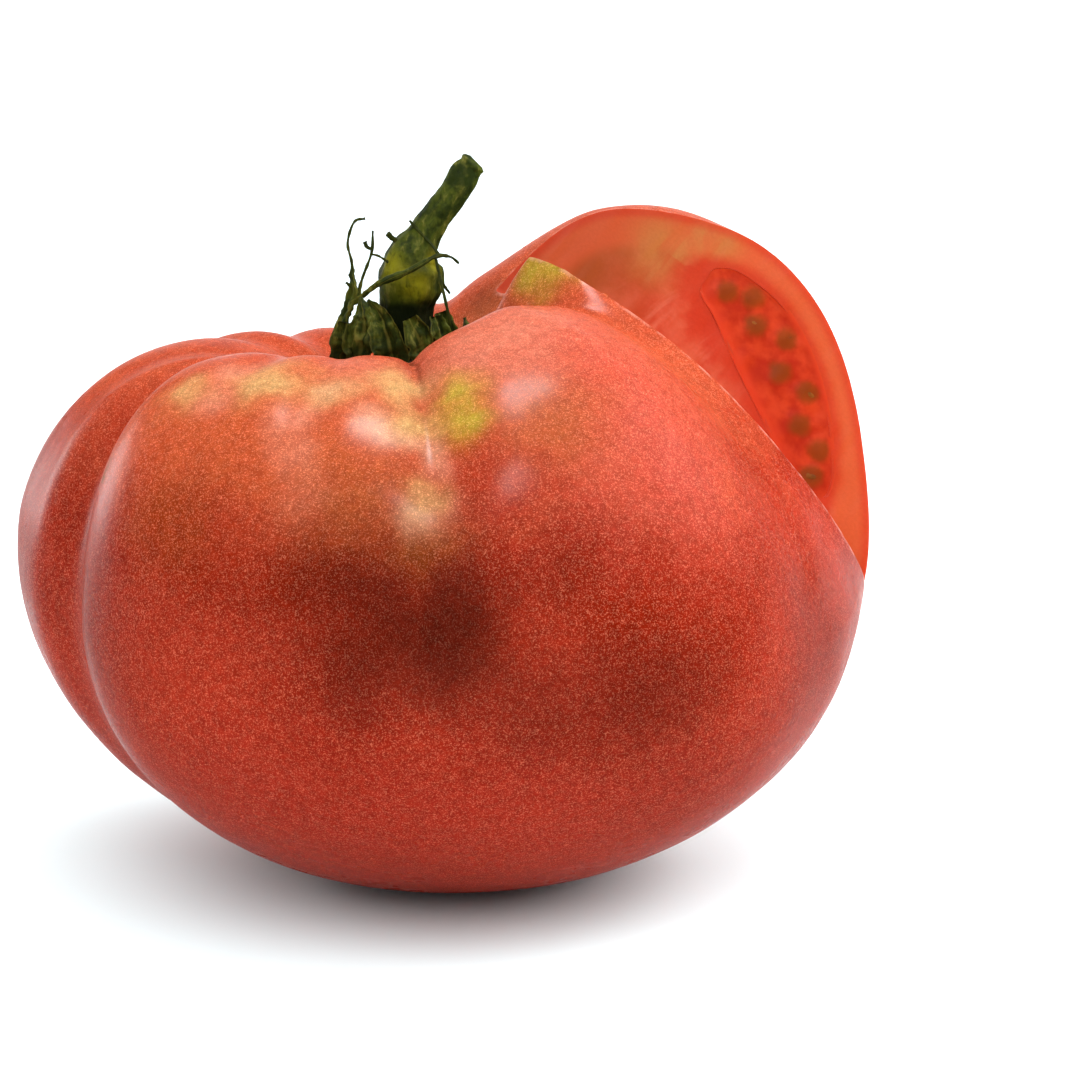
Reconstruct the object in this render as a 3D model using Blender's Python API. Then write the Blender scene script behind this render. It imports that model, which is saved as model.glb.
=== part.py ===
"""Large ribbed beefsteak tomato with its stem and dried calyx, one wedge cut out of the right shoulder.

Lengths below are in millimetres, angles in degrees round the stem axis from +X through +Y. The scene is in
metres with +Z up. The origin is the centre of the small flat spot that the fruit rests on.
"""
import math

import bmesh
import bpy
from mathutils import Vector

MM = 0.001

# fruit: centre of the stem pit, seen from above, and the centre of the flat spot
PIT_X, PIT_Y = -6.6, 3.0
PIT_HEIGHT = 67.0
PIT_FLOOR = 6.0
PIT_STEEPNESS = 0.8
FLAT_RADIUS = 9.0
MIDDLE_HEIGHT = 42.0

# sixteen directions, every 22.5 degrees: crest of the shoulder, widest girth, fullness of the shoulder
CREST_HEIGHT = [88.4, 89, 88.2, 79.4, 74, 72.5, 73, 73.5, 73.5, 75, 76, 76.5, 77, 80.2, 82.5, 81.5]
CREST_REACH = [22, 36.2, 39.5, 32, 26, 25, 26, 27, 28, 27, 28, 26, 24, 25, 24.5, 27]
GIRTH_REACH = [60.2, 66.2, 65, 59, 55, 54, 55, 57.3, 57.6, 53.5, 54.5, 54.5, 55, 57, 60, 58.8]
GIRTH_HEIGHT = [40, 50, 51, 49, 45, 42, 42, 42, 42, 41, 40, 40, 40, 40, 39, 37.5]
FULLNESS = [1.3, 0.8, 0.75, 0.9, 1, 1, 1, 1.03, 1.03, 0.93, 0.9, 0.97, 1, 1, 1, 1.26]
UNDERSIDE = 1.2

# creases between the lobes: direction, depth as a share of the reach, half width, sharpness, last station
CREASES = [
    (275, 0.030, 9.0, 1.2, 1.9),
    (275, 0.040, 3.0, 1.2, 1.8),
    (251, 0.022, 5.0, 1.5, 1.8),
    (233, 0.020, 5.0, 1.5, 1.8),
    (201, 0.105, 7.5, 1.3, 3.0),
    (184, 0.030, 6.0, 1.4, 2.9),
    (152, 0.050, 8.0, 1.4, 2.4),
    (128, 0.060, 8.0, 1.3, 2.4),
    (104, 0.050, 8.0, 1.3, 2.4),
    (78, 0.050, 6.0, 1.3, 2.4),
    (30, 0.020, 8.0, 1.3, 2.4),
    (18, 0.055, 8.0, 1.3, 1.4),
    (336, 0.031, 5.0, 1.3, 1.75),
    (318, 0.015, 6.0, 1.5, 1.8),
]

# rings of the fruit's mesh along a meridian: 0 pit, 1 crest, 2 girth, 3 edge of the flat spot, 4 its centre
FRUIT_SEGMENTS = 120
STATION_RINGS = [(0.0, 1.0, 9), (1.0, 2.0, 15), (2.0, 3.0, 16), (3.0, 4.0, 2)]

# wedge cut: the two ends of its inner edge, and the lean of its two faces from upright
CUT_TOP = Vector((6.5, 20.0, 77.3))
CUT_BOTTOM = Vector((54.4, 12.0, 37.8))
CUT_PAST_ENDS = 60.0
CUT_REACH = 90.0
BACK_LEAN = 22.0
FRONT_LEAN = -62.0

# seed chamber in each cut face: along the inner edge, out from it, half width
BACK_CHAMBER = [(21, 21.4, 2.5), (25.5, 21.8, 3.6), (31, 20.6, 4.8), (37, 18.0, 5.0), (43, 14.6, 4.4),
                (48.5, 10.6, 3.4), (52.5, 6.8, 2.5)]
FRONT_CHAMBER = [(21, 19.8, 2.5), (27, 19.8, 3.6), (33.5, 18.4, 4.4), (40, 16.0, 4.4), (46, 13.2, 3.6),
                 (50.5, 10.8, 2.8), (53.5, 8.8, 2.5)]
CHAMBER_SEGMENTS, CHAMBER_RINGS = 14, 20
CHAMBER_DEPTH = 0.65
CHAMBER_END = 0.12
GAP = 0.3
GEL_SUNK = 0.5

# seeds: how many, where the row starts and ends along the chamber, how far each is from the chamber's middle
BACK_SEEDS = 9
FRONT_SEEDS = 8
SEED_SEGMENTS, SEED_RINGS = 8, 6
SEED_ROW = (0.13, 0.90)
SEED_SIDES = (-0.45, 0.75)
SEED_MARGIN = 1.9
SEED_LENGTH, SEED_WIDTH, SEED_RISE = 3.6, 2.3, 0.6
SEED_TAPER = 0.3
SEED_TILT, SEED_TILT_SWING, SEED_TILT_STEP = 55.0, 40.0, 2.4

# stem: centre line and half width, from the pit to the cut tip
STEM_SEGMENTS, STEM_RINGS = 12, 22
STEM = [(-6.6, 3.0, 67.4, 4.4), (-6.4, 3.0, 69.4, 3.5), (-6.1, 3.0, 74, 3.4), (-5.8, 3.0, 78.6, 3.7),
        (-5.4, 3.0, 82.3, 4.2), (-4.9, 3.0, 85.6, 3.3), (-3.6, 3.0, 88.2, 2.5), (-1.8, 3.2, 91, 2.15),
        (0.4, 3.4, 93.8, 2.1), (2.3, 3.6, 96.6, 2.1), (3.7, 3.8, 98.6, 1.95)]
# dried sepals and their thread-like tips, each from the foot of the stem or from its neighbour to its own
# tip: three coordinates and the half width
SEPALS = [
    [(-8.0, 2.0, 69.5, 1.5), (-12.6, 0.4, 70.0, 2.0), (-15.2, -0.8, 73.5, 2.0), (-14.3, -1.2, 77.5, 1.6),
     (-13.0, -1.2, 80.8, 0.9), (-12.9, -1.0, 84.5, 0.6), (-13.6, -1.0, 88.0, 0.45), (-12.7, -1.0, 90.8, 0.42),
     (-11.2, -1.0, 91.3, 0.4)],
    [(-12.6, -1.2, 80.0, 0.7), (-11.6, -1.0, 83.6, 0.5), (-10.4, -0.8, 86.6, 0.45), (-10.2, -0.8, 89.6, 0.4)],
    [(-10.6, -0.8, 86.4, 0.42), (-9.4, -0.2, 86.0, 0.42), (-7.6, 0.8, 84.6, 0.5)],
    [(-12.8, -1.6, 79.8, 0.9), (-10.8, -2.2, 81.6, 0.8), (-8.6, -2.4, 83.0, 0.7), (-5.2, -2.7, 84.5, 0.6),
     (-1.8, -1.6, 86.2, 0.5), (0.2, -0.6, 86.0, 0.42), (1.4, 0.0, 85.0, 0.4)],
    [(-8.5, -0.5, 69.5, 1.5), (-11.6, -4.0, 71.0, 2.6), (-12.0, -5.2, 74.5, 2.7), (-11.4, -4.6, 78.0, 1.9),
     (-11.8, -2.8, 80.8, 0.7)],
    [(-6.4, -0.5, 69.5, 1.6), (-7.4, -6.8, 71.5, 3.0), (-8.0, -7.4, 75.0, 2.8), (-9.2, -6.0, 78.5, 1.9),
     (-10.8, -3.8, 80.6, 0.6)],
    [(-4.4, 0.0, 69.5, 1.6), (-3.0, -7.0, 71.8, 3.0), (-3.4, -7.8, 75.0, 2.6), (-5.2, -6.8, 78.6, 1.2)],
    [(-3.6, 1.0, 69.5, 1.6), (0.0, -3.4, 71.5, 2.5), (0.0, -4.4, 75.0, 2.2), (-1.4, -3.6, 78.8, 1.2)],
    [(0.6, -3.6, 75.6, 0.8), (-0.2, -4.0, 79.8, 0.5), (-1.1, -2.6, 83.4, 0.45), (-1.7, -1.4, 86.0, 0.5)],
    [(-3.4, 4.6, 69.5, 1.6), (1.0, 7.0, 71.5, 2.2), (2.4, 8.0, 74.0, 1.5), (2.0, 8.6, 76.0, 0.6)],
    [(-5.4, 6.0, 69.5, 1.6), (-4.4, 10.6, 70.5, 2.3), (-4.8, 12.4, 73.0, 1.6), (-6.2, 12.6, 75.0, 0.6)],
    [(-9.0, 4.8, 69.5, 1.6), (-12.6, 7.6, 70.5, 2.2), (-14.8, 8.8, 73.0, 1.6), (-15.0, 8.4, 75.0, 0.6)],
    [(-8.8, 1.4, 69.5, 1.5), (-13.4, -2.4, 70.8, 2.4), (-14.4, -3.4, 74.0, 2.2), (-13.8, -3.2, 77.4, 1.2)],
]
SEPAL_SEGMENTS, SEPAL_RINGS_PER_POINT = 8, 3
SEPAL_HALF_THICKNESS = 0.42
SEPAL_CLEAR = 0.9

# colours, linear red, green and blue
SKIN_COLOUR = (0.52, 0.055, 0.035)
GEL_COLOUR = (0.42, 0.05, 0.015)
CALYX_COLOUR = (0.055, 0.06, 0.012)


def round_axis(values, angle):
    """Smooth closed curve through values at equal steps of angle."""
    place = (angle % 360.0) / (360.0 / len(values))
    first = int(math.floor(place))
    t = place - first
    a, b, c, d = (values[(first + k) % len(values)] for k in (-1, 0, 1, 2))
    return b + 0.5 * t * (c - a + t * (2 * a - 5 * b + 4 * c - d + t * (3 * (b - c) + d - a)))


def smooth(t):
    """Ease from 0 to 1."""
    t = min(max(t, 0.0), 1.0)
    return t * t * (3 - 2 * t)


def crease_depth(angle, station):
    """Share of the reach that the creases take away in this direction."""
    total = 0.0
    for direction, depth, width, sharpness, last in CREASES:
        away = (angle - direction + 180) % 360 - 180
        across = 1 / (1 + abs(away / width) ** (2 * sharpness))
        start = min(max(station / 0.3, 0.0), 1.0)
        end = min(max((last - station) / (0.8 * (last - 1)), 0.0), 1.0)
        total += depth * across * smooth(start * end)
    return total


def skin_point(angle, station):
    """Point of the fruit's skin in mm, for a direction round the axis and a station along the meridian."""
    crest_height, crest_reach = round_axis(CREST_HEIGHT, angle), round_axis(CREST_REACH, angle)
    girth_height, girth_reach = round_axis(GIRTH_HEIGHT, angle), round_axis(GIRTH_REACH, angle)
    if station <= 1:
        reach = crest_reach * station
        rise = max((reach - PIT_FLOOR) / (crest_reach - PIT_FLOOR), 0.0) ** PIT_STEEPNESS
        height = PIT_HEIGHT + (crest_height - PIT_HEIGHT) * (0.5 - 0.5 * math.cos(math.pi * rise))
    elif station <= 2:
        turn = (station - 1) * math.pi / 2
        full = round_axis(FULLNESS, angle)
        reach = crest_reach + (girth_reach - crest_reach) * math.sin(turn) ** full
        height = girth_height + (crest_height - girth_height) * max(math.cos(turn), 0.0) ** full
    elif station <= 3:
        turn = (station - 2) * math.pi / 2
        reach = FLAT_RADIUS + (girth_reach - FLAT_RADIUS) * max(math.cos(turn), 0.0) ** UNDERSIDE
        height = girth_height * (1 - math.sin(turn))
    else:
        reach = FLAT_RADIUS * (4 - station)
        height = 0.0
    kept = 1 - crease_depth(angle, station)
    drawn_in = min(max((2.6 - station) / 0.6, 0.0), 1.0)
    reach *= kept
    height += (MIDDLE_HEIGHT - height) * (1 - kept) * drawn_in
    centred = 1 - min(max((station - 1) / 2, 0.0), 1.0)
    x = PIT_X * centred + reach * math.cos(math.radians(angle))
    y = PIT_Y * centred + reach * math.sin(math.radians(angle))
    return Vector((x, y, height))


def pit_height(x, y):
    """Height of the skin inside the ring of crests, in mm."""
    angle = math.degrees(math.atan2(y - PIT_Y, x - PIT_X)) % 360
    station = min(math.hypot(x - PIT_X, y - PIT_Y) / round_axis(CREST_REACH, angle), 1.0)
    return skin_point(angle, station).z


def material(name, colour, roughness):
    """Principled material with one colour."""
    made = bpy.data.materials.new(name)
    made.use_nodes = True
    shader = made.node_tree.nodes["Principled BSDF"]
    shader.inputs["Base Color"].default_value = (*colour, 1)
    shader.inputs["Roughness"].default_value = roughness
    shader.inputs["Metallic"].default_value = 0.0
    made.diffuse_color = (*colour, 1)
    return made


def take(collection):
    """Active object, moved into the collection."""
    piece = bpy.context.active_object
    for old in list(piece.users_collection):
        old.objects.unlink(piece)
    collection.objects.link(piece)
    return piece


def globe(name, segments, rings, collection, place):
    """UV sphere whose vertices are moved by place(angle in degrees, ring), ring 0 at the top."""
    bpy.ops.mesh.primitive_uv_sphere_add(segments=segments, ring_count=rings, radius=1.0)
    piece = take(collection)
    piece.name = name
    piece.data.name = name
    for vertex in piece.data.vertices:
        ring = round(math.acos(min(max(vertex.co.z, -1.0), 1.0)) / math.pi * rings)
        angle = math.degrees(math.atan2(vertex.co.y, vertex.co.x)) % 360
        vertex.co = place(angle, ring) * MM
    return piece


def outward(piece):
    """Point the faces of a closed mesh outwards."""
    mesh = bmesh.new()
    mesh.from_mesh(piece.data)
    bmesh.ops.recalc_face_normals(mesh, faces=mesh.faces)
    mesh.to_mesh(piece.data)
    mesh.free()


def boolean(piece, operation, other):
    """Apply a Boolean with an object or a whole collection.

    The exact solver leaves open edges on these meshes.
    """
    cut = piece.modifiers.new(operation.lower(), "BOOLEAN")
    cut.operation = operation
    cut.solver = "MANIFOLD"
    if isinstance(other, bpy.types.Collection):
        cut.operand_type = "COLLECTION"
        cut.collection = other
    else:
        cut.object = other
    bpy.context.view_layer.objects.active = piece
    bpy.ops.object.modifier_apply(modifier=cut.name)


def curve_point(points, t):
    """Smooth open curve through points of any length, t from 0 to 1."""
    place = min(max(t, 0.0), 1.0) * (len(points) - 1)
    first = min(int(place), len(points) - 2)
    t = place - first
    ends = [tuple(2 * a - b for a, b in zip(points[0], points[1]))]
    ends += list(points)
    ends += [tuple(2 * a - b for a, b in zip(points[-1], points[-2]))]
    a, b, c, d = ends[first:first + 4]
    return [q + 0.5 * t * (r - p + t * (2 * p - 5 * q + 4 * r - s + t * (3 * (q - r) + s - p)))
            for p, q, r, s in zip(a, b, c, d)]


def cut_frame():
    """Direction of the wedge's inner edge and, for its back and front face, the way out and the normal."""
    edge = (CUT_BOTTOM - CUT_TOP).normalized()
    away = Vector((0, 1, 0))
    away = (away - edge * edge.dot(away)).normalized()
    up = edge.cross(away)
    back, front = (math.cos(turn) * up + math.sin(turn) * away
                   for turn in (math.radians(BACK_LEAN), math.radians(FRONT_LEAN)))
    back_normal = (front - back * front.dot(back)).normalized()
    front_normal = (back - front * front.dot(back)).normalized()
    return edge, (back, back_normal), (front, front_normal)


def wedge(collection):
    """Prism between the two cut faces, longer than the fruit."""
    edge, (back, _), (front, _) = cut_frame()
    start, finish = CUT_TOP - edge * CUT_PAST_ENDS, CUT_BOTTOM + edge * CUT_PAST_ENDS
    bpy.ops.mesh.primitive_cube_add(size=2)
    piece = take(collection)
    piece.name = "wedge_cutter"
    for vertex in piece.data.vertices:
        x, y, z = vertex.co
        foot = start if x < 0 else finish
        vertex.co = (foot + (y + 1) / 2 * CUT_REACH * back + (z + 1) / 2 * CUT_REACH * front) * MM
    outward(piece)
    return piece


def chamber(name, collection, face, points, less, sunk=0.0):
    """Rounded trough along a curve in a cut face, drawn in by less and set back behind the face by sunk."""
    edge, faces = cut_frame()[0], cut_frame()[1:]
    out, normal = faces[face]

    def place(angle, ring):
        t = min(max((ring - 1) / (CHAMBER_RINGS - 2), 0.0), 1.0)
        from_end = min(t / CHAMBER_END, (1 - t) / CHAMBER_END, 1.0)
        end = 0.0 if ring in (0, CHAMBER_RINGS) else 0.5 + 0.5 * math.sqrt(from_end * (2 - from_end))
        along, across, half = curve_point(points, t)
        before, after = curve_point(points, t - 0.02), curve_point(points, t + 0.02)
        heading = Vector((after[0] - before[0], after[1] - before[1])).normalized()
        turn = math.radians(angle)
        side = (half - less) * end * math.cos(turn)
        along += -heading.y * side
        across += heading.x * side
        depth = (half * CHAMBER_DEPTH - less) * end * math.sin(turn)
        if sunk:
            depth = min(depth, -sunk)
        return CUT_TOP + edge * along + out * across + normal * depth

    piece = globe(name, CHAMBER_SEGMENTS, CHAMBER_RINGS, collection, place)
    outward(piece)
    return piece


def seeds(collection, face, points, count):
    """Flat drop-shaped seeds in a staggered row, half sunk in the surface of the gel."""
    edge, faces = cut_frame()[0], cut_frame()[1:]
    out, normal = faces[face]
    for number in range(count):
        t = SEED_ROW[0] + (SEED_ROW[1] - SEED_ROW[0]) * number / (count - 1)
        along, across, half = curve_point(points, t)
        before, after = curve_point(points, t - 0.02), curve_point(points, t + 0.02)
        heading = Vector((after[0] - before[0], after[1] - before[1])).normalized()
        sideways = (half - SEED_MARGIN) * SEED_SIDES[number % 2]
        foot = CUT_TOP + edge * (along - heading.y * sideways) + out * (across + heading.x * sideways)
        tilt = math.radians(SEED_TILT + SEED_TILT_SWING * math.sin(SEED_TILT_STEP * number))
        long_axis = edge * (heading.x * math.cos(tilt) - heading.y * math.sin(tilt))
        long_axis += out * (heading.y * math.cos(tilt) + heading.x * math.sin(tilt))
        wide_axis = normal.cross(long_axis)

        def place(angle, ring):
            polar = math.pi * ring / SEED_RINGS
            turn = math.radians(angle)
            point = math.cos(polar)
            drop = 1 - SEED_TAPER * point
            width = SEED_WIDTH / 2 * math.sin(polar) * drop * math.cos(turn)
            rise = SEED_RISE * math.sin(polar) * math.sin(turn)
            length = SEED_LENGTH / 2 * point
            return foot + long_axis * length + wide_axis * width + normal * (rise - GEL_SUNK)

        outward(globe(f"seed_{face}_{number}", SEED_SEGMENTS, SEED_RINGS, collection, place))


def ribbon(name, collection, points, thickness, segments, rings):
    """Solid along a curve in space with blunt closed ends, as wide as the fourth number of its points says.

    Its width lies round the stem's axis, or upright where the curve itself runs round the axis. Without a
    thickness it is as thick as it is wide.
    """

    def place(angle, ring):
        t = min(max((ring - 1) / (rings - 2), 0.0), 1.0)
        end = 0.0 if ring in (0, rings) else 1.0
        *here, half = curve_point(points, t)
        here = Vector(here)
        ahead = Vector(curve_point(points, t + 0.01)[:3]) - Vector(curve_point(points, t - 0.01)[:3])
        ahead.normalize()
        tangent = Vector((PIT_Y - here.y, here.x - PIT_X - 0.01, 0)).normalized()
        side = tangent + Vector((0, 0, 2 * tangent.dot(ahead) ** 2))
        side = (side - ahead * side.dot(ahead)).normalized()
        flat = ahead.cross(side)
        turn = math.radians(angle)
        return here + end * (side * half * math.cos(turn) + flat * (thickness or half) * math.sin(turn))

    piece = globe(name, segments, rings, collection, place)
    outward(piece)
    return piece


def clear_of_skin(points):
    """Sepal's points, lifted where it would touch the skin of the pit."""
    lifted = []
    for x, y, z, half in points:
        around = ((0, 0), (half, 0), (-half, 0), (0, half), (0, -half))
        skin = max(pit_height(x + dx, y + dy) for dx, dy in around)
        lifted.append((x, y, max(z, skin + SEPAL_CLEAR), half))
    return lifted


def build_fruit(parts, cutters):
    """Ribbed body with the wedge and the two seed chambers cut out of it."""
    stations = [0.0]
    for low, high, count in STATION_RINGS:
        stations += [low + (high - low) * (step + 1) / count for step in range(count)]

    def place(angle, ring):
        return skin_point(angle, stations[ring])

    fruit = globe("fruit", FRUIT_SEGMENTS, len(stations) - 1, parts, place)
    outward(fruit)
    boolean(fruit, "DIFFERENCE", wedge(cutters))
    boolean(fruit, "DIFFERENCE", chamber("back_chamber_cutter", cutters, 0, BACK_CHAMBER, 0.0))
    boolean(fruit, "DIFFERENCE", chamber("front_chamber_cutter", cutters, 1, FRONT_CHAMBER, 0.0))
    fruit.data.materials.clear()
    fruit.data.materials.append(material("tomato_skin", SKIN_COLOUR, 0.3))
    return fruit


def build_gel(name, parts, repeats, face, points, count):
    """Seed gel filling one chamber, with its seeds fused in."""
    gel = chamber(name, parts, face, points, GAP, GEL_SUNK)
    seeds(repeats, face, points, count)
    boolean(gel, "UNION", repeats)
    for seed in list(repeats.objects):
        bpy.data.objects.remove(seed)
    gel.data.materials.clear()
    gel.data.materials.append(material(name, GEL_COLOUR, 0.15))
    return gel


def build_stem(parts, repeats):
    """Stem with its swollen knuckle and dried sepals, one piece."""
    stem = ribbon("stem_calyx", parts, STEM, None, STEM_SEGMENTS, STEM_RINGS)
    for number, points in enumerate(SEPALS):
        rings = SEPAL_RINGS_PER_POINT * len(points)
        ribbon(f"sepal_{number}", repeats, clear_of_skin(points), SEPAL_HALF_THICKNESS, SEPAL_SEGMENTS, rings)
    boolean(stem, "UNION", repeats)
    for sepal in list(repeats.objects):
        bpy.data.objects.remove(sepal)
    stem.data.materials.clear()
    stem.data.materials.append(material("dry_calyx", CALYX_COLOUR, 0.75))
    return stem


def main():
    for item in list(bpy.data.objects):
        bpy.data.objects.remove(item)
    parts = bpy.data.collections.new("dester_tomato")
    cutters = bpy.data.collections.new("cutters")
    repeats = bpy.data.collections.new("repeats")
    for collection in (parts, cutters, repeats):
        bpy.context.scene.collection.children.link(collection)
    build_fruit(parts, cutters)
    build_gel("gel_back", parts, repeats, 0, BACK_CHAMBER, BACK_SEEDS)
    build_gel("gel_front", parts, repeats, 1, FRONT_CHAMBER, FRONT_SEEDS)
    build_stem(parts, repeats)
    bpy.data.collections.remove(repeats)
    for cutter in cutters.objects:
        cutter.hide_render = True
        cutter.display_type = "WIRE"


if __name__ == "__main__":
    main()
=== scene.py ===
"""Looks of a large ribbed beefsteak tomato with its stem and dried calyx, one wedge cut out of a shoulder.

Lengths in the shape functions are in millimetres, angles in degrees round the stem axis from +X through +Y.
Objects are in metres. Every shape is a function of two parameters, worked out with numpy as whole arrays.
"""

import bpy
import numpy as np
from bpy.props import FloatProperty, FloatVectorProperty, IntProperty, PointerProperty
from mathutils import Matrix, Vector


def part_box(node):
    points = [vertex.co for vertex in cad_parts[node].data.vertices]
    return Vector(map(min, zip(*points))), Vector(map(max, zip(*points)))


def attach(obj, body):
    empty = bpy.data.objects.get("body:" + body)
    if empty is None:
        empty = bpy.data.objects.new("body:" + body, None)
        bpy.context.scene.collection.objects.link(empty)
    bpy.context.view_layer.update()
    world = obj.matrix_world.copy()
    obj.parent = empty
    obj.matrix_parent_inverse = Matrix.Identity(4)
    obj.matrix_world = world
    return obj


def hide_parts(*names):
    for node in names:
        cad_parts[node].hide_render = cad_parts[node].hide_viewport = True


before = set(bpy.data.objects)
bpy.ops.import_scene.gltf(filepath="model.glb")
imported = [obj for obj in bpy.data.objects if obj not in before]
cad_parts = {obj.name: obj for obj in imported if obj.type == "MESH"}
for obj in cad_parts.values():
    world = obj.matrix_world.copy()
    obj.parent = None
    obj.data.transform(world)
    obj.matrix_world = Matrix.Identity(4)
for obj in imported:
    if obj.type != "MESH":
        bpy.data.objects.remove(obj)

bl_info = {
    "name": "Ribbed tomato",
    "version": (1, 0, 0),
    "blender": (4, 5, 0),
    "location": "View3D > Sidebar > Tomato",
    "description": "Builds the skin, flesh, gel, seeds, stem and calyx of a ribbed tomato, and its stage",
    "category": "Object",
}

MM = 0.001
# value in mm for a point with nothing near it
FAR = 50.0
# ripples: how many random values they have, and the stride through them in each direction
RIPPLE_VALUES = 4096
RIPPLE_STRIDES = (73, 1179, 2083)

# main sizes of the fruit, the same as in the part's source
PIT_X, PIT_Y = -6.6, 3.0
PIT_HEIGHT = 67.0
PIT_FLOOR = 6.0
PIT_STEEPNESS = 0.8
FLAT_RADIUS = 9.0
MIDDLE_HEIGHT = 42.0
CREST_HEIGHT = [88.4, 89, 88.2, 79.4, 74, 72.5, 73, 73.5, 73.5, 75, 76, 76.5, 77, 80.2, 82.5, 81.5]
CREST_REACH = [22, 36.2, 39.5, 32, 26, 25, 26, 27, 28, 27, 28, 26, 24, 25, 24.5, 27]
GIRTH_REACH = [60.2, 66.2, 65, 59, 55, 54, 55, 57.3, 57.6, 53.5, 54.5, 54.5, 55, 57, 60, 58.8]
GIRTH_HEIGHT = [40, 50, 51, 49, 45, 42, 42, 42, 42, 41, 40, 40, 40, 40, 39, 37.5]
FULLNESS = [1.3, 0.8, 0.75, 0.9, 1, 1, 1, 1.03, 1.03, 0.93, 0.9, 0.97, 1, 1, 1, 1.26]
UNDERSIDE = 1.2
FLAT_RINGS = 4
# angles in degrees from which edges are shaded sharp
FRUIT_SHARP, GEL_SHARP = 38, 60

# creases between the lobes: direction, depth as a share of the reach, half width, sharpness, last station
CREASES = [
    (275, 0.030, 9.0, 1.2, 1.9),
    (275, 0.040, 3.0, 1.2, 1.8),
    (251, 0.022, 5.0, 1.5, 1.8),
    (233, 0.020, 5.0, 1.5, 1.8),
    (201, 0.105, 7.5, 1.3, 3.0),
    (184, 0.030, 6.0, 1.4, 2.9),
    (152, 0.050, 8.0, 1.4, 2.4),
    (128, 0.060, 8.0, 1.3, 2.4),
    (104, 0.050, 8.0, 1.3, 2.4),
    (78, 0.050, 6.0, 1.3, 2.4),
    (30, 0.020, 8.0, 1.3, 2.4),
    (18, 0.055, 8.0, 1.3, 1.4),
    (336, 0.031, 5.0, 1.3, 1.75),
    (318, 0.015, 6.0, 1.5, 1.8),
]
# creases whose bottom gets a dark line of painted shade: direction, strength, first and last station
CREASE_SHADES = [(275, 0.75, 0.85, 1.42), (201, 0.5, 0.9, 1.7), (336, 0.25, 0.6, 1.1), (18, 0.35, 0.5, 1.0)]
CREASE_SHADE_REACH = 3.0

# wedge cut: the two ends of its inner edge, and the lean of its two faces from upright
CUT_TOP = np.array((6.5, 20.0, 77.3))
CUT_BOTTOM = np.array((54.4, 12.0, 37.8))
BACK_LEAN = 22.0
FRONT_LEAN = -62.0
# crumbs of flesh left standing on the front cut: along the inner edge, out from it, radius, height
CRUMBS = [(11.8, 25.0, 0.9, 0.9), (12.9, 25.6, 0.5, 0.6), (23.6, 31.0, 0.7, 0.7), (27.4, 30.9, 0.6, 0.6),
          (33.0, 31.0, 0.5, 0.4), (61.0, 6.5, 0.9, 1.0), (58.5, 9.0, 0.6, 0.6)]
# tear at the wedge's inner edge, deeper into the flesh: from where along it, over what length, how deep, how
# far out
TEAR_START, TEAR_LENGTH, TEAR_DEPTH, TEAR_REACH = 50.0, 10.0, 2.2, 3.0
# wedge tool: steps along its inner edge, fine between coarse ones; how far out it goes, fine and in all;
# how far its inner edge is rounded off
WEDGE_BEFORE, WEDGE_FINE, WEDGE_AFTER = (-60, -20), (-6, 72), (90, 130)
WEDGE_OUT, WEDGE_FAR = 46, 95
EDGE_INSET = 0.25

# seed chamber in each cut face: along the inner edge, out from it, half width
BACK_CHAMBER = [(21, 21.4, 2.5), (25.5, 21.8, 3.6), (31, 20.6, 4.8), (37, 18.0, 5.0), (43, 14.6, 4.4),
                (48.5, 10.6, 3.4), (52.5, 6.8, 2.5)]
FRONT_CHAMBER = [(21, 19.8, 2.5), (27, 19.8, 3.6), (33.5, 18.4, 4.4), (40, 16.0, 4.4), (46, 13.2, 3.6),
                 (50.5, 10.8, 2.8), (53.5, 8.8, 2.5)]
CHAMBER_DEPTH = 0.65
CHAMBER_END = 0.12
# rings and columns of the solid that hollows it out, and samples of its middle line for distances
CHAMBER_RINGS, CHAMBER_COLUMNS, CHAMBER_SAMPLES = 120, 40, 90
# share of the distance that counts on the side of the chamber towards the inner edge
INNER_SIDE = 0.45
# gel: columns, how far it goes past the chamber's edge, level at its rim, dip between the seeds, reach of the
# swell over a seed, and depth at which its hidden bowl begins
GEL_COLUMNS, GEL_WIDER, GEL_LEVEL, GEL_DIP, GEL_SWELL_RADIUS, GEL_BOWL = 72, 0.5, 0.04, 0.16, 1.9, -0.62
# seeds: rings and columns of each, the row's ends along the chamber, the sides they take in turn as shares of
# its half width, room to its wall, and the turn of their length in degrees
SEED_RINGS, SEED_COLUMNS = 18, 28
SEED_ROW = (0.13, 0.90)
SEED_SIDES = (0.0, 0.85)
SEED_MARGIN = 1.6
SEED_TILT, SEED_TILT_SWING, SEED_TILT_STEP = 55.0, 40.0, 2.4
CHAMBERS = {"gel_back": (0, BACK_CHAMBER, 9), "gel_front": (1, FRONT_CHAMBER, 8)}

# stem: centre line and half width, from the pit to the cut tip
STEM = [(-6.6, 3.0, 67.4, 4.4), (-6.4, 3.0, 69.4, 3.5), (-6.1, 3.0, 74, 3.4), (-5.8, 3.0, 78.6, 4.3),
        (-5.3, 3.0, 82.3, 4.75), (-4.9, 3.0, 85.6, 3.7), (-3.6, 3.0, 88.2, 2.5), (-1.8, 3.2, 91, 2.15),
        (0.4, 3.4, 93.8, 2.1), (2.3, 3.6, 96.6, 2.1), (3.7, 3.8, 98.6, 1.95)]
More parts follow.
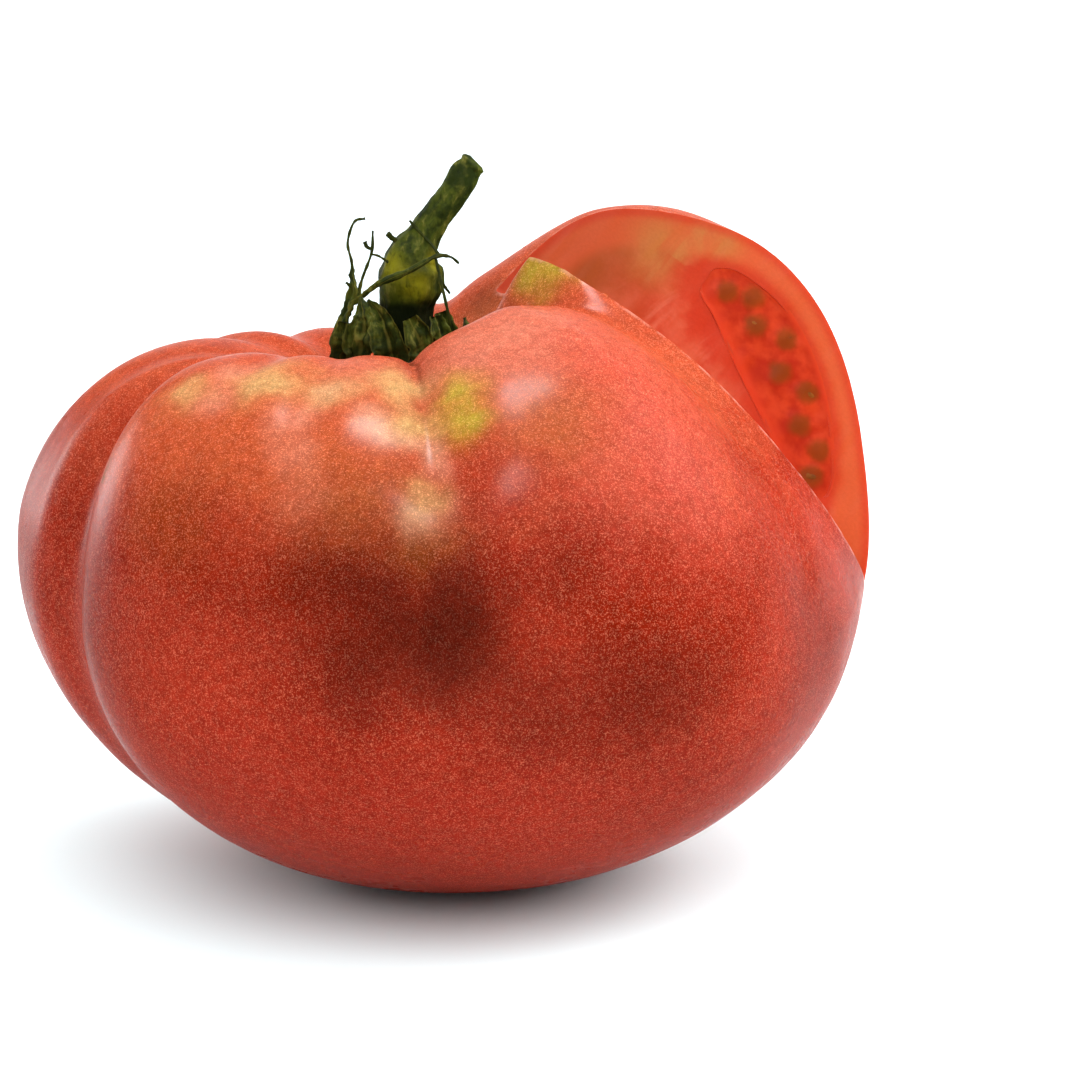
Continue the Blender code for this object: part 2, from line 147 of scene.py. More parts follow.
# dried sepals and their thread-like tips: three coordinates and the half width
SEPALS = [
    [(-8.0, 2.0, 69.5, 1.5), (-12.6, 0.4, 70.0, 2.0), (-15.2, -0.8, 73.5, 2.0), (-14.3, -1.2, 77.5, 1.6),
     (-13.1, -1.2, 80.8, 1.45), (-13.0, -1.0, 83.4, 0.95), (-13.1, -1.0, 85.4, 0.6),
     (-13.6, -1.0, 88.0, 0.52), (-12.7, -1.0, 90.8, 0.45),
     (-11.2, -1.0, 91.3, 0.4)],
    [(-12.4, -1.2, 80.0, 0.95), (-11.7, -1.0, 83.0, 0.62), (-10.4, -0.8, 86.6, 0.55),
     (-10.2, -0.8, 89.6, 0.4)],
    [(-10.6, -0.8, 86.4, 0.42), (-9.4, -0.2, 86.0, 0.42), (-7.6, 0.8, 84.6, 0.5)],
    [(-12.8, -1.6, 79.8, 0.9), (-10.8, -2.2, 81.6, 0.8), (-8.6, -2.6, 83.0, 0.85), (-5.2, -3.0, 84.5, 0.78),
     (-1.8, -1.8, 86.2, 0.66), (0.2, -0.6, 86.0, 0.5), (1.4, 0.0, 85.0, 0.4)],
    [(-8.5, -0.5, 69.5, 1.5), (-11.6, -4.0, 71.0, 2.6), (-12.0, -5.2, 74.5, 2.7), (-11.4, -4.6, 78.0, 1.9),
     (-11.8, -2.8, 80.8, 0.7)],
    [(-6.4, -0.5, 69.5, 1.6), (-7.4, -6.8, 71.5, 3.0), (-8.0, -7.4, 75.0, 2.8), (-9.2, -6.0, 78.5, 1.9),
     (-10.8, -3.8, 80.6, 0.6)],
    [(-4.4, 0.0, 69.5, 1.6), (-3.0, -7.0, 71.8, 3.0), (-3.4, -7.8, 75.0, 2.6), (-5.2, -6.8, 78.6, 1.2)],
    [(-3.6, 1.0, 69.5, 1.6), (0.0, -3.4, 71.5, 2.5), (0.0, -4.4, 75.0, 2.2), (-1.4, -3.6, 78.8, 1.2)],
    [(-3.6, -1.0, 70.0, 1.6), (-1.4, -5.2, 72.4, 2.4), (-1.0, -6.2, 75.4, 2.2), (-1.8, -5.2, 78.6, 1.3)],
    [(0.6, -3.6, 75.6, 0.8), (-0.2, -4.0, 79.8, 0.5), (-1.1, -2.6, 83.4, 0.45), (-1.7, -1.4, 86.0, 0.5)],
    [(-3.4, 4.6, 69.5, 1.6), (1.0, 7.0, 71.5, 2.2), (2.4, 8.0, 74.0, 1.5), (2.0, 8.6, 76.0, 0.6)],
    [(-5.4, 6.0, 69.5, 1.6), (-4.4, 10.6, 70.5, 2.3), (-4.8, 12.4, 73.0, 1.6), (-6.2, 12.6, 75.0, 0.6)],
    [(-9.0, 4.8, 69.5, 1.6), (-12.6, 7.6, 70.5, 2.2), (-14.8, 8.8, 73.0, 1.6), (-15.0, 8.4, 75.0, 0.6)],
    [(-8.8, 1.4, 69.5, 1.5), (-13.4, -2.4, 70.8, 2.4), (-14.4, -3.4, 74.0, 2.2), (-13.8, -3.2, 77.4, 1.2)],
]
# yellow-green spots of the stem's knuckle: centre and radius
BULB_SPOTS = [((-8.4, -0.4, 84.8), 2.2), ((-4.6, -1.6, 82.2), 2.6), ((-1.6, 1.0, 85.0), 1.5)]
# thin strands and twigs on the stem and on the threads: three coordinates and the half width
TWIGS = [
    [(-5.3, 1.6, 90.6, 0.18), (-4.4, 1.3, 89.6, 0.20), (-3.2, 0.8, 88.4, 0.18), (-2.0, 0.0, 87.2, 0.18),
     (-1.2, -1.0, 86.1, 0.28)],
    [(-8.3, 1.6, 88.8, 0.42), (-7.7, 1.8, 88.2, 0.36), (-6.4, 2.2, 87.0, 0.30)],
    [(-10.3, -0.8, 87.0, 0.20), (-11.0, -0.9, 87.4, 0.26), (-11.3, -0.9, 88.1, 0.34)],
    [(-13.2, -1.2, 82.0, 0.24), (-13.9, -1.2, 82.6, 0.16)],
    [(-1.0, -2.4, 83.0, 0.26), (0.2, -2.0, 81.2, 0.16)],
]
SEPAL_CLEAR = 0.9
# rings and columns of the stem and of a twig; rings for each point of a sepal, and its columns
STEM_GRID, TWIG_GRID = (170, 64), (40, 14)
SEPAL_STEPS, SEPAL_COLUMNS = 18, 32
# half width below which a sepal is a thread, and over how much width it turns into one
THREAD_HALF, THREAD_CHANGE = 0.85, 0.3
# painted shade at the foot of the stem and of the sepals, towards the pit: below which height, over how much
# height, how dark
STEM_FOOT_SHADE = (80.6, 1.8, 0.95)
SEPAL_FOOT_SHADE = (76.5, 5.0, 0.8)

# patches on the skin, by kind, some of them painted shade, sheen and highlights: centre, radius and strength
SKIN_PATCHES = {
    # partly pale cream streaks on the shoulders, partly painted highlights beside the main crease
    "cream_and_highlight": [((-9.1, -36.8, 71.0), 2.6, 0.55), ((-5.9, -39.2, 69.0), 2.6, 0.6),
              ((-2.8, -39.9, 67.5), 2.6, 0.5), ((-3.3, -47.4, 60.0), 2.8, 0.4),
              ((-14.4, -31.1, 73.7), 3.0, 0.4)],
    # painted shade: near-black red patches where shade falls on the front, the sides and the top end of the
    # cut
    "painted_shade": [((0.8, -52.9, 45.5), 9.5, 0.8), ((-3.0, -52.0, 50.0), 16.0, 0.38),
             ((-17.0, -49.0, 48.0), 14.0, 0.3), ((-8.5, -51.6, 49.9), 5.5, 0.35),
             ((-10.6, -52.6, 40.9), 6.5, 0.4), ((3.2, -51.7, 51.3), 5.0, 0.35),
             ((25.2, -48.9, 36.4), 10.0, 0.3), ((32.2, -45.8, 37.7), 8.0, 0.2),
             ((-14.7, -49.9, 52.3), 7.0, 0.25), ((15.5, -49.4, 53.6), 7.0, 0.28),
             ((10.0, -52.8, 36.0), 8.0, 0.25), ((19.0, -51.0, 38.0), 13.0, 0.28),
             ((49.0, -24.0, 38.0), 15.0, 0.45), ((-54.0, -10.0, 54.0), 15.0, 0.3),
             ((-46.0, -30.0, 42.0), 16.0, 0.3), ((-31.5, -42.0, 53.4), 11.0, 0.22),
             ((34.0, -42.0, 18.0), 16.0, 0.2), ((5.5, 20.0, 75.0), 5.0, 0.6)],
    # partly pinker skin, partly painted sheen where the light from the right and from above falls
    "pink_and_sheen": [((26.5, -36.0, 69.3), 17.0, 0.8), ((38.3, -34.8, 57.2), 13.0, 0.2),
             ((12.0, -26.0, 79.5), 13.0, 0.8), ((20.1, -32.4, 75.2), 12.0, 0.7)],
    "gold": [((-34.0, -26.3, 72.2), 3.6, 0.75), ((-23.4, -28.0, 74.4), 4.6, 0.8),
             ((-14.4, -31.1, 73.7), 4.0, 0.8), ((-6.2, -29.7, 74.1), 4.6, 1.0),
             ((-4.1, -36.3, 70.3), 4.0, 0.9), ((-2.1, -45.2, 62.6), 3.0, 0.5),
             ((-21.0, -25.5, 75.0), 5.0, 0.35)],
    "green": [((1.5, -33.1, 74.1), 3.6, 1.0), ((2.5, -37.9, 70.9), 3.6, 1.0),
              ((12.4, 0.8, 84.1), 4.4, 1.0), ((16.0, -0.6, 84.4), 3.2, 0.9)],
    "olive": [((-2.1, -48.6, 58.3), 5.5, 0.7), ((-9.0, -45.5, 62.0), 9.0, 0.35),
              ((13.9, -37.6, 72.1), 9.0, 0.6), ((-35.0, -38.0, 58.0), 8.0, 0.25)],
    # partly pink valleys on the shoulders, partly painted highlights on them
    "rose_and_highlight": [((-28.1, -24.0, 74.3), 3.2, 0.9), ((-29.7, -28.8, 72.0), 3.2, 0.7),
             ((-18.3, -34.6, 71.2), 3.4, 0.9), ((-19.0, -39.7, 67.2), 3.6, 0.6),
             ((-17.3, -44.3, 62.4), 4.2, 0.3), ((-0.9, -42.1, 65.8), 2.6, 0.7),
             ((0.4, -46.5, 61.0), 3.0, 0.7), ((-21.7, -35.7, 70.2), 3.0, 0.5),
             ((-10.5, -26.0, 75.6), 6.0, 0.4), ((4.0, -27.0, 78.0), 9.0, 0.6),
             ((10.0, -22.0, 80.5), 9.0, 0.5)],
    "rust": [((-26.3, -34.3, 70.3), 13.0, 0.7), ((-14.4, -41.7, 66.6), 12.0, 0.7),
             ((-40.0, -24.0, 68.0), 10.0, 0.5)],
    "scar": [((-45.2, -23.5, 60.8), 2.0, 1.0)],
}
# ochre in the flesh: centre in the cut face and radius
OCHRE_BLOBS = [((14.0, 20.5, 0.0), 8.0), ((18.0, 27.0, 0.0), 6.5)]

# colours of the patches, and of the finishes' smaller details
COLOURS = {
    # near-black red: painted shade; whitish pink: partly the skin's pink, partly painted highlights
    "painted_shade": (0.040, 0.003, 0.001), "rose_and_highlight": (0.52, 0.17, 0.105), "olive": (0.25, 0.070, 0.008),
    # light pink: partly painted sheen; cream: partly painted highlights
    "pink_and_sheen": (0.455, 0.064, 0.041), "rust": (0.42, 0.076, 0.020), "cream_and_highlight": (0.58, 0.31, 0.19),
    # dark brown red: painted shade in the creases; pale pink: partly whitish torn skin, partly a painted
    # highlight
    "pit": (0.40, 0.10, 0.03), "painted_crease_shade": (0.085, 0.018, 0.007), "pale_edge_and_highlight": (0.72, 0.34, 0.26),
    "scar": (0.16, 0.07, 0.03), "wisp": (0.66, 0.17, 0.09), "stem_end": (0.36, 0.070, 0.010),
    "ochre": (0.46, 0.155, 0.034), "under_skin": (0.50, 0.036, 0.010),
    "outer_rim": (0.50, 0.034, 0.006), "inner_rim": (0.49, 0.031, 0.006),
    # olive edge: partly dry sepal edges, partly a painted highlight; the last one, near black: painted shade
    "sepal_edge_and_highlight": (0.13, 0.13, 0.022), "thread": (0.016, 0.020, 0.003), "foot_shade": (0.004, 0.006, 0.001),
    # near black furrow colour: partly the dry calyx's dark grooves, partly painted shade
    "furrow_and_shade": (0.006, 0.009, 0.001), "floor": (0.815, 0.945, 0.965),
}

# stage in metres: point that the camera and the lights look at, half width of the floor; sensor in mm
AIM = Vector((0.0124, 0.0, 0.0465))
FLOOR_REACH = 6.0
SENSOR_WIDTH = 36.0


# number fields and curves


def cubic(t, a, b, c, d):
    """Way from b to c for t from 0 to 1, by the cubic that also heeds a before them and d after them."""
    return b + 0.5 * t * (c - a + t * (2 * a - 5 * b + 4 * c - d + t * (3 * (b - c) + d - a)))


def around(values, angle):
    """Smooth closed curve through values at equal steps of angle: a cubic through the four nearest."""
    values = np.asarray(values, float)
    place = np.mod(angle, 360.0) / (360.0 / len(values))
    first = np.floor(place).astype(int)
    return cubic(place - first, *(values[(first + k) % len(values)] for k in (-1, 0, 1, 2)))


def track(points, t):
    """Smooth open curve through rows of numbers, t from 0 to 1: a cubic through the four nearest."""
    rows = np.asarray(points, float)
    rows = np.vstack([2 * rows[0] - rows[1], rows, 2 * rows[-1] - rows[-2]])
    place = np.clip(t, 0.0, 1.0) * (len(points) - 1)
    first = np.minimum(place.astype(int), len(points) - 2)
    return cubic((place - first)[..., None], *(rows[first + k] for k in range(4)))


def smooth(t):
    """Ease from 0 to 1."""
    t = np.clip(t, 0.0, 1.0)
    return t * t * (3 - 2 * t)


def unit(vectors):
    """Vectors of length 1."""
    return vectors / np.linalg.norm(vectors, axis=-1, keepdims=True)


def dot(a, b):
    """Product of two rows of vectors, one number for each pair."""
    return np.einsum("...i,...i->...", a, b)


def beside(heading):
    """Direction in a plane, turned left by a quarter."""
    return np.stack([-heading[..., 1], heading[..., 0]], -1)


def turns(steps, columns):
    """Grid of a surface's two parameters: these steps along it, by equal turns all the way round it."""
    return np.meshgrid(steps, np.arange(columns) * 2 * np.pi / columns, indexing="ij")


def off_direction(angle, direction):
    """Angle from a direction, between -180 and 180."""
    return (angle - direction + 180) % 360 - 180


def ripple(points, size, seed):
    """Smooth field from -1 to 1: random values on a cubic lattice of this size, eased between its corners."""
    table = np.random.default_rng(seed).uniform(-1, 1, RIPPLE_VALUES)
    place = np.asarray(points) / size + 1000.0
    cell = np.floor(place).astype(int)
    t = smooth(place - cell)
    total = np.zeros(place.shape[:-1])
    for corner in range(8):
        step = np.array((corner & 1, corner >> 1 & 1, corner >> 2))
        share = np.prod(np.where(step, t, 1 - t), axis=-1)
        total += share * table[((cell + step) * RIPPLE_STRIDES).sum(axis=-1) % RIPPLE_VALUES]
    return total


def crease_depth(angle, station):
    """Share of the reach that creases take away: for each, a bell round its direction, up to its station."""
    total = np.zeros(np.broadcast(angle, station).shape)
    for direction, depth, width, sharpness, last in CREASES:
        across = 1 / (1 + np.abs(off_direction(angle, direction) / width) ** (2 * sharpness))
        start = np.clip(station / 0.3, 0.0, 1.0)
        end = np.clip((last - station) / (0.8 * (last - 1)), 0.0, 1.0)
        total += depth * across * smooth(start * end)
    return total


def skin_surface(angle, station):
    """Skin of the fruit, a closed surface of direction round the axis and station along the meridian.

    Station 0 to 1 rises from the pit to the crest on half a cosine wave, 1 to 2 is a quarter of a
    super-ellipse from the crest to the girth, 2 to 3 another one from the girth to the flat spot, and 3 to 4
    the flat spot. The creases then draw each point in towards the middle.
    """
    angle, station = np.broadcast_arrays(np.asarray(angle, float), np.asarray(station, float))
    crest_height, crest_reach = around(CREST_HEIGHT, angle), around(CREST_REACH, angle)
    girth_height, girth_reach = around(GIRTH_HEIGHT, angle), around(GIRTH_REACH, angle)
    full = around(FULLNESS, angle)

    pit_reach = crest_reach * np.clip(station, 0, 1)
    rise = np.clip((pit_reach - PIT_FLOOR) / (crest_reach - PIT_FLOOR), 0, 1) ** PIT_STEEPNESS
    pit_height = PIT_HEIGHT + (crest_height - PIT_HEIGHT) * (0.5 - 0.5 * np.cos(np.pi * rise))

    turn = np.clip(station - 1, 0, 1) * np.pi / 2
    top_reach = crest_reach + (girth_reach - crest_reach) * np.sin(turn) ** full
    top_height = girth_height + (crest_height - girth_height) * np.maximum(np.cos(turn), 0) ** full

    turn = np.clip(station - 2, 0, 1) * np.pi / 2
    low_reach = FLAT_RADIUS + (girth_reach - FLAT_RADIUS) * np.maximum(np.cos(turn), 0) ** UNDERSIDE
    low_height = girth_height * (1 - np.sin(turn))

    bands = [station <= 1, station <= 2, station <= 3]
    reach = np.select(bands, [pit_reach, top_reach, low_reach], FLAT_RADIUS * (4 - station))
    height = np.select(bands, [pit_height, top_height, low_height], 0.0)
    kept = 1 - crease_depth(angle, station)
    reach = reach * kept
    height = height + (MIDDLE_HEIGHT - height) * (1 - kept) * np.clip((2.6 - station) / 0.6, 0, 1)
    centred = 1 - np.clip((station - 1) / 2, 0, 1)
    x = PIT_X * centred + reach * np.cos(np.radians(angle))
    y = PIT_Y * centred + reach * np.sin(np.radians(angle))
    return np.stack([x, y, height], -1)


def skin_place(points):
    """Direction round the axis, station and reach of points on the skin above the girth."""
    station = np.full(len(points), 1.4)
    for _ in range(3):
        centred = 1 - np.clip((station - 1) / 2, 0, 1)
        x, y = points[:, 0] - PIT_X * centred, points[:, 1] - PIT_Y * centred
        angle = np.degrees(np.arctan2(y, x)) % 360
        crest, girth = around(CREST_HEIGHT, angle), around(GIRTH_HEIGHT, angle)
        rise = np.clip((points[:, 2] - girth) / (crest - girth), 0.0, 1.0)
        outer = 1 + np.arccos(rise ** (1 / around(FULLNESS, angle))) * 2 / np.pi
        share = np.hypot(points[:, 0] - PIT_X, points[:, 1] - PIT_Y) / around(CREST_REACH, angle)
        station = np.where(share < 1, share, outer)
    return angle, station, np.hypot(x, y)


def pit_height_at(x, y):
    """Height of the skin inside the ring of crests."""
    angle = np.degrees(np.arctan2(y - PIT_Y, x - PIT_X)) % 360
    station = np.minimum(np.hypot(x - PIT_X, y - PIT_Y) / around(CREST_REACH, angle), 1.0)
    return skin_surface(angle, station)[..., 2]


def cut_frame():
    """Direction of the wedge's inner edge, and the way out and the normal of its back and its front face."""
    edge = unit(CUT_BOTTOM - CUT_TOP)
    away = np.array((0.0, 1.0, 0.0))
    away = unit(away - edge * edge.dot(away))
    up = np.cross(edge, away)
    back, front = (np.cos(turn) * up + np.sin(turn) * away for turn in np.radians((BACK_LEAN, FRONT_LEAN)))
    back_normal = unit(front - back * front.dot(back))
    front_normal = unit(back - front * front.dot(back))
    return edge, (back, back_normal), (front, front_normal)


def face_frame(face):
    """Three directions of a cut face: along the wedge's inner edge, out from it in the face, off the face."""
    edge, *faces = cut_frame()
    return (edge, *faces[face])


def face_point(face, place, off):
    """Points from their place in a cut face, along the inner edge and out from it, and their way off it."""
    edge, way, normal = face_frame(face)
    return CUT_TOP + place[..., :1] * edge + place[..., 1:2] * way + np.asarray(off)[..., None] * normal


def face_place(face, points):
    """The other way round: how far points are along the inner edge, out from it and off a cut face."""
    return np.stack([(points - CUT_TOP) @ direction for direction in face_frame(face)], -1)


def in_plane(place):
    """Places in a cut face with a third coordinate of 0, for a ripple to read."""
    return np.concatenate([place, np.zeros((*place.shape[:-1], 1))], -1)


# meshes


def closed_faces(rings, columns):
    """Faces of a closed surface: quads between its rings and a fan of triangles at each of its two poles."""
    column = np.arange(columns)
    after = (column + 1) % columns
    last_ring = 1 + (rings - 1) * columns
    fans = [np.stack([np.zeros(columns, int), 1 + column, 1 + after], -1),
            np.stack([np.full(columns, last_ring + columns), last_ring + after, last_ring + column], -1)]
    row = np.arange(rings - 1)[:, None] * columns + 1
    quads = np.stack([row + column, row + columns + column, row + columns + after, row + after], -1)
    return quads.reshape(-1, 4), np.concatenate(fans)


def point_array(mesh):
    """Points of a mesh in mm."""
    points = np.empty(len(mesh.vertices) * 3)
    mesh.vertices.foreach_get("co", points)
    return points.reshape(-1, 3) / MM


def read_numbers(items, name, kind=int):
    """One number for each of a mesh's loops, edges or faces."""
    values = np.empty(len(items), kind)
    items.foreach_get(name, values)
    return values


def turn_outward(mesh):
    """Turn the faces of a closed mesh outwards, by the sign of its volume."""
    mesh.update()
    points = point_array(mesh)
    points = points - points.mean(axis=0)
    corners, starts = read_numbers(mesh.loops, "vertex_index"), read_numbers(mesh.polygons, "loop_start")
    totals = read_numbers(mesh.polygons, "loop_total")
    volume = 0.0
    for k in (1, 2):
        use = starts[totals > k + 1]
        a, b, c = (points[corners[use + step]] for step in (0, k, k + 1))
        volume += dot(a, np.cross(b, c)).sum()
    if volume < 0:
        mesh.flip_normals()


def closed_mesh(name, grid, poles=None):
    """Smooth mesh of a closed surface: a grid of points in mm, rings by columns, between two poles.

    Poles that aren't given are the middles of the first and the last ring.
    """
    first, last = poles or (grid[0].mean(axis=0), grid[-1].mean(axis=0))
    points = np.vstack([first, grid.reshape(-1, 3), last]) * MM
    quads, fans = closed_faces(*grid.shape[:2])
    mesh = bpy.data.meshes.new(name)
    mesh.from_pydata(points.tolist(), [], quads.tolist() + fans.tolist())
    mesh.shade_smooth()
    turn_outward(mesh)
    return mesh


def new_object(name, data):
    """Object at the origin that carries a mesh, a light or a camera."""
    made = bpy.data.objects.new(name, data)
    bpy.context.scene.collection.objects.link(made)
    return made


def write_number(mesh, name, values):
    """Put one number per point into the mesh, for its material to read."""
    mesh.attributes.new(name, "FLOAT", "POINT").data.foreach_set("value", np.asarray(values, float))


def write_grid(mesh, name, values, poles=(0.0, 0.0)):
    """Put one number per point into a closed surface: those of its grid, between those of its two poles."""
    write_number(mesh, name, np.concatenate([poles[:1], values.ravel(), poles[1:]]))


def add_finishes(mesh, finishes, number):
    """Give the mesh these materials, and all of its faces the one with this number."""
    for finish in finishes:
        mesh.materials.append(finish)
    mesh.polygons.foreach_set("material_index", np.full(len(mesh.polygons), number))


def join_meshes(name, meshes):
    """One object of several meshes with the same materials, their attributes kept."""
    pieces = [new_object(name, mesh) for mesh in meshes]
    bpy.ops.object.select_all(action="DESELECT")
    for piece in pieces:
        piece.select_set(True)
    bpy.context.view_layer.objects.active = pieces[0]
    bpy.ops.object.join()
    joined = pieces[0]
    joined.name = name
    joined.data.name = name
    return joined


def cut_away(piece, cutter):
    """Take the cutter's solid out of the piece and delete the cutter."""
    step = piece.modifiers.new("cut", "BOOLEAN")
    step.operation = "DIFFERENCE"
    step.solver = "MANIFOLD"
    step.object = cutter
    bpy.context.view_layer.objects.active = piece
    bpy.ops.object.modifier_apply(modifier=step.name)
    bpy.data.objects.remove(cutter)


# fruit


def fruit_mesh(settings):
    """Skin surface on a grid, drawn in by a slow ripple so that it never passes its smooth shape."""
    bands = (settings.rings // 4, settings.rings * 3 // 8, settings.rings * 3 // 8, FLAT_RINGS)
    stations = np.concatenate([np.linspace(band, band + 1, count, endpoint=False)
                               for band, count in enumerate(bands)])[1:]
    angles = np.arange(settings.segments) * 360.0 / settings.segments
    grid = skin_surface(angles[None, :], stations[:, None])
    middle = np.array((0.0, 0.0, MIDDLE_HEIGHT))
    wave = 0.5 + 0.35 * ripple(grid, 13.0, 3) + 0.15 * ripple(grid, 5.0, 4)
    fade = np.clip(grid[..., 2] / 8.0, 0, 1) * smooth(stations[:, None] / 0.2)
    grid = grid + unit(middle - grid) * (wave * fade * settings.wobble / MM)[..., None]
    return closed_mesh("fruit", grid, tuple(skin_surface(np.array((0.0, 0.0)), np.array((0.0, 4.0)))))


def wedge_mesh(settings):
    """Prism along the wedge's inner edge. Its profile runs in one cut face, round the edge, out in the other.

    The two cut faces carry a low relief: soft swells, fibres that run out from the edge, and a few crumbs of
    flesh at the skin. Towards its outer end the inner edge tears deeper.
    """
    edge, (back, _), (front, _) = cut_frame()
    step = settings.cut_step / MM
    along = np.concatenate([WEDGE_BEFORE, np.arange(*WEDGE_FINE, step), WEDGE_AFTER])
    fine = (along >= WEDGE_FINE[0]) & (along < WEDGE_FINE[1])
    place = np.stack(np.meshgrid(along, np.arange(step, WEDGE_OUT, step), indexing="ij"), -1)
    flat, out = in_plane(place), place[..., 1]
    middle = unit(front + back)
    torn = smooth((along - TEAR_START) / TEAR_LENGTH) * fine * TEAR_DEPTH
    faces = []
    for face in (1, 0):
        relief = 0.07 * ripple(flat * (1.0, 0.22, 1), 1.1, 21 - face) + 0.13 * ripple(flat, 5.0, 23 - face)
        relief = relief * smooth(out / 2.5) * fine[:, None]
        if face == 1:
            crumbly = 0.8 + 0.4 * ripple(flat, 0.5, 25)
            for crumb_along, crumb_out, radius, height in CRUMBS:
                away = np.hypot(place[..., 0] - crumb_along, out - crumb_out) / radius
                relief = relief + height * np.exp(-away ** 2) * crumbly
        deeper = torn[:, None] * np.exp(-(out / TEAR_REACH) ** 2) * (1 + 0.3 * ripple(flat, 1.2, 27 - face))
        faces.append(face_point(face, place, relief) - deeper[..., None] * middle)
    line = CUT_TOP + along[:, None] * edge
    rounded = line + (EDGE_INSET - torn)[:, None] * middle
    corner, far_front, far_back = (line + WEDGE_FAR * way for way in (front + back, front, back))
    rows = [row[:, None] for row in (corner, far_front, rounded, far_back)]
    return closed_mesh("wedge", np.concatenate([*rows[:2], faces[0][:, ::-1], rows[2], faces[1], rows[3]], 1))


def chamber_line(points, t):
    """Middle of a seed chamber in its cut face, its half width with rounded ends, and its direction."""
    row = track(points, t)
    from_end = np.clip(np.minimum(t, 1 - t) / CHAMBER_END, 0, 1)
    half = row[..., 2] * (0.5 + 0.5 * np.sqrt(from_end * (2 - from_end)))
    heading = unit((track(points, t + 0.02) - track(points, t - 0.02))[..., :2])
    return row[..., :2], half, heading


def chamber_steps(points, rings, columns, wider=0.0):
    """Ellipse across a chamber at each step along it: place in the cut face, half width and turn."""
    t, turn = turns(np.linspace(0, 1, rings), columns)
    middle, half, heading = chamber_line(points, t)
    return middle + ((half + wider) * np.cos(turn))[..., None] * beside(heading), half, turn


def chamber_cutter(name):
    """Solid that hollows one seed chamber out of the fruit: an ellipse across it, centred on the cut."""
    face, points, _ = CHAMBERS[name]
    place, half, turn = chamber_steps(points, CHAMBER_RINGS, CHAMBER_COLUMNS)
    return closed_mesh("chamber", face_point(face, place, half * CHAMBER_DEPTH * np.sin(turn)))


def nearest(points, others, chunk=2000):
    """Distance from each point to the nearest of the others."""
    return np.concatenate([np.sqrt(((points[k:k + chunk, None] - others[None]) ** 2).sum(-1).min(1))
                           for k in range(0, len(points), chunk)])


def touched(mesh, flesh_faces, key, count):
    """Which of the mesh's points or edges belong to flesh, and which to skin."""
    items = read_numbers(mesh.loops, key)
    of_flesh = np.repeat(flesh_faces, read_numbers(mesh.polygons, "loop_total"))
    return (np.bincount(items[mask], minlength=count) > 0 for mask in (of_flesh, ~of_flesh))


def write_patches(mesh, points):
    """How much of each kind of patch a point of the skin has: bells round centres, shaken by a ripple."""
    shaken = points + 1.6 * np.stack([ripple(points, 3.2, 40 + k) for k in range(3)], -1)
    for kind, patches in SKIN_PATCHES.items():
        amount = np.zeros(len(points))
        for centre, radius, strength in patches:
            away = np.linalg.norm(shaken - centre, axis=-1) / radius
            amount = 1 - (1 - amount) * (1 - strength * np.exp(-1.3 * away ** 2.5))
        write_number(mesh, kind, amount)


def write_creases(mesh, points):
    """Distance in mm to the nearest of the creases with painted shade, how much painted shade darkens it
    there, and the stem pit.
    """
    angle, station, reach = skin_place(points)
    side, shade_amount = np.full(len(points), FAR), np.zeros(len(points))
    for direction, strength, first, last in CREASE_SHADES:
        away = np.radians(off_direction(angle, direction)) * reach
        here = strength * np.exp(-(away / CREASE_SHADE_REACH) ** 2)
        here = here * smooth((station - first) / 0.1) * smooth((last - station) / 0.3)
        nearer = np.abs(away) < np.abs(side)
        side, shade_amount = np.where(nearer, away, side), np.where(nearer, here, shade_amount)
    write_number(mesh, "crease_side", side)
    write_number(mesh, "crease_shade_amount", shade_amount)
    write_number(mesh, "pit", smooth((0.75 - station) / 0.4) * smooth((points[:, 2] - 60) / 6))


def write_cut(mesh, points, flesh_faces):
    """Distances in mm to the skin's edge, on flesh and on skin, and to the seed chamber; place in the cut."""
    on_flesh, on_skin = touched(mesh, flesh_faces, "vertex_index", len(points))
    outline = points[on_flesh & on_skin]
    rim, edge_away = np.zeros(len(points)), np.full(len(points), FAR)
    rim[on_flesh] = nearest(points[on_flesh], outline)
    near_cut = on_skin & (points[:, 0] > 0)
    edge_away[near_cut] = nearest(points[near_cut], outline)
    write_number(mesh, "rim", rim)
    write_number(mesh, "edge_away", edge_away)

    places = [face_place(face, points) for face in (0, 1)]
    is_front = np.abs(places[1][:, 2]) < np.abs(places[0][:, 2])
    place = np.where(is_front[:, None], places[1], places[0])
    place[:, 2] = is_front
    mesh.attributes.new("cut_place", "FLOAT_VECTOR", "POINT").data.foreach_set("vector", place.ravel())
    chamber = np.full(len(points), FAR)
    for face, line, _ in CHAMBERS.values():
        middle, half, heading = chamber_line(line, np.linspace(0, 1, CHAMBER_SAMPLES))
        here = np.flatnonzero(on_flesh & (is_front == face))
        apart = place[here, None, :2] - middle[None]
        away = np.linalg.norm(apart, axis=-1) - half[None]
        best = away.argmin(axis=1)
        rows = np.arange(len(here))
        across = dot(apart[rows, best], beside(heading[best]))
        chamber[here] = away[rows, best] * np.where(across > 0, 1.0, INNER_SIDE)
    write_number(mesh, "chamber", chamber)


def mark_sharp(mesh, flesh_faces):
    """Keep the shading apart along sharp edges and where skin and flesh meet."""
    mesh.set_sharp_from_angle(angle=np.radians(FRUIT_SHARP))
    flesh, skin = touched(mesh, flesh_faces, "edge_index", len(mesh.edges))
    sharp = read_numbers(mesh.edges, "use_edge_sharp", bool)
    mesh.edges.foreach_set("use_edge_sharp", sharp | (flesh & skin))


# gel and seeds


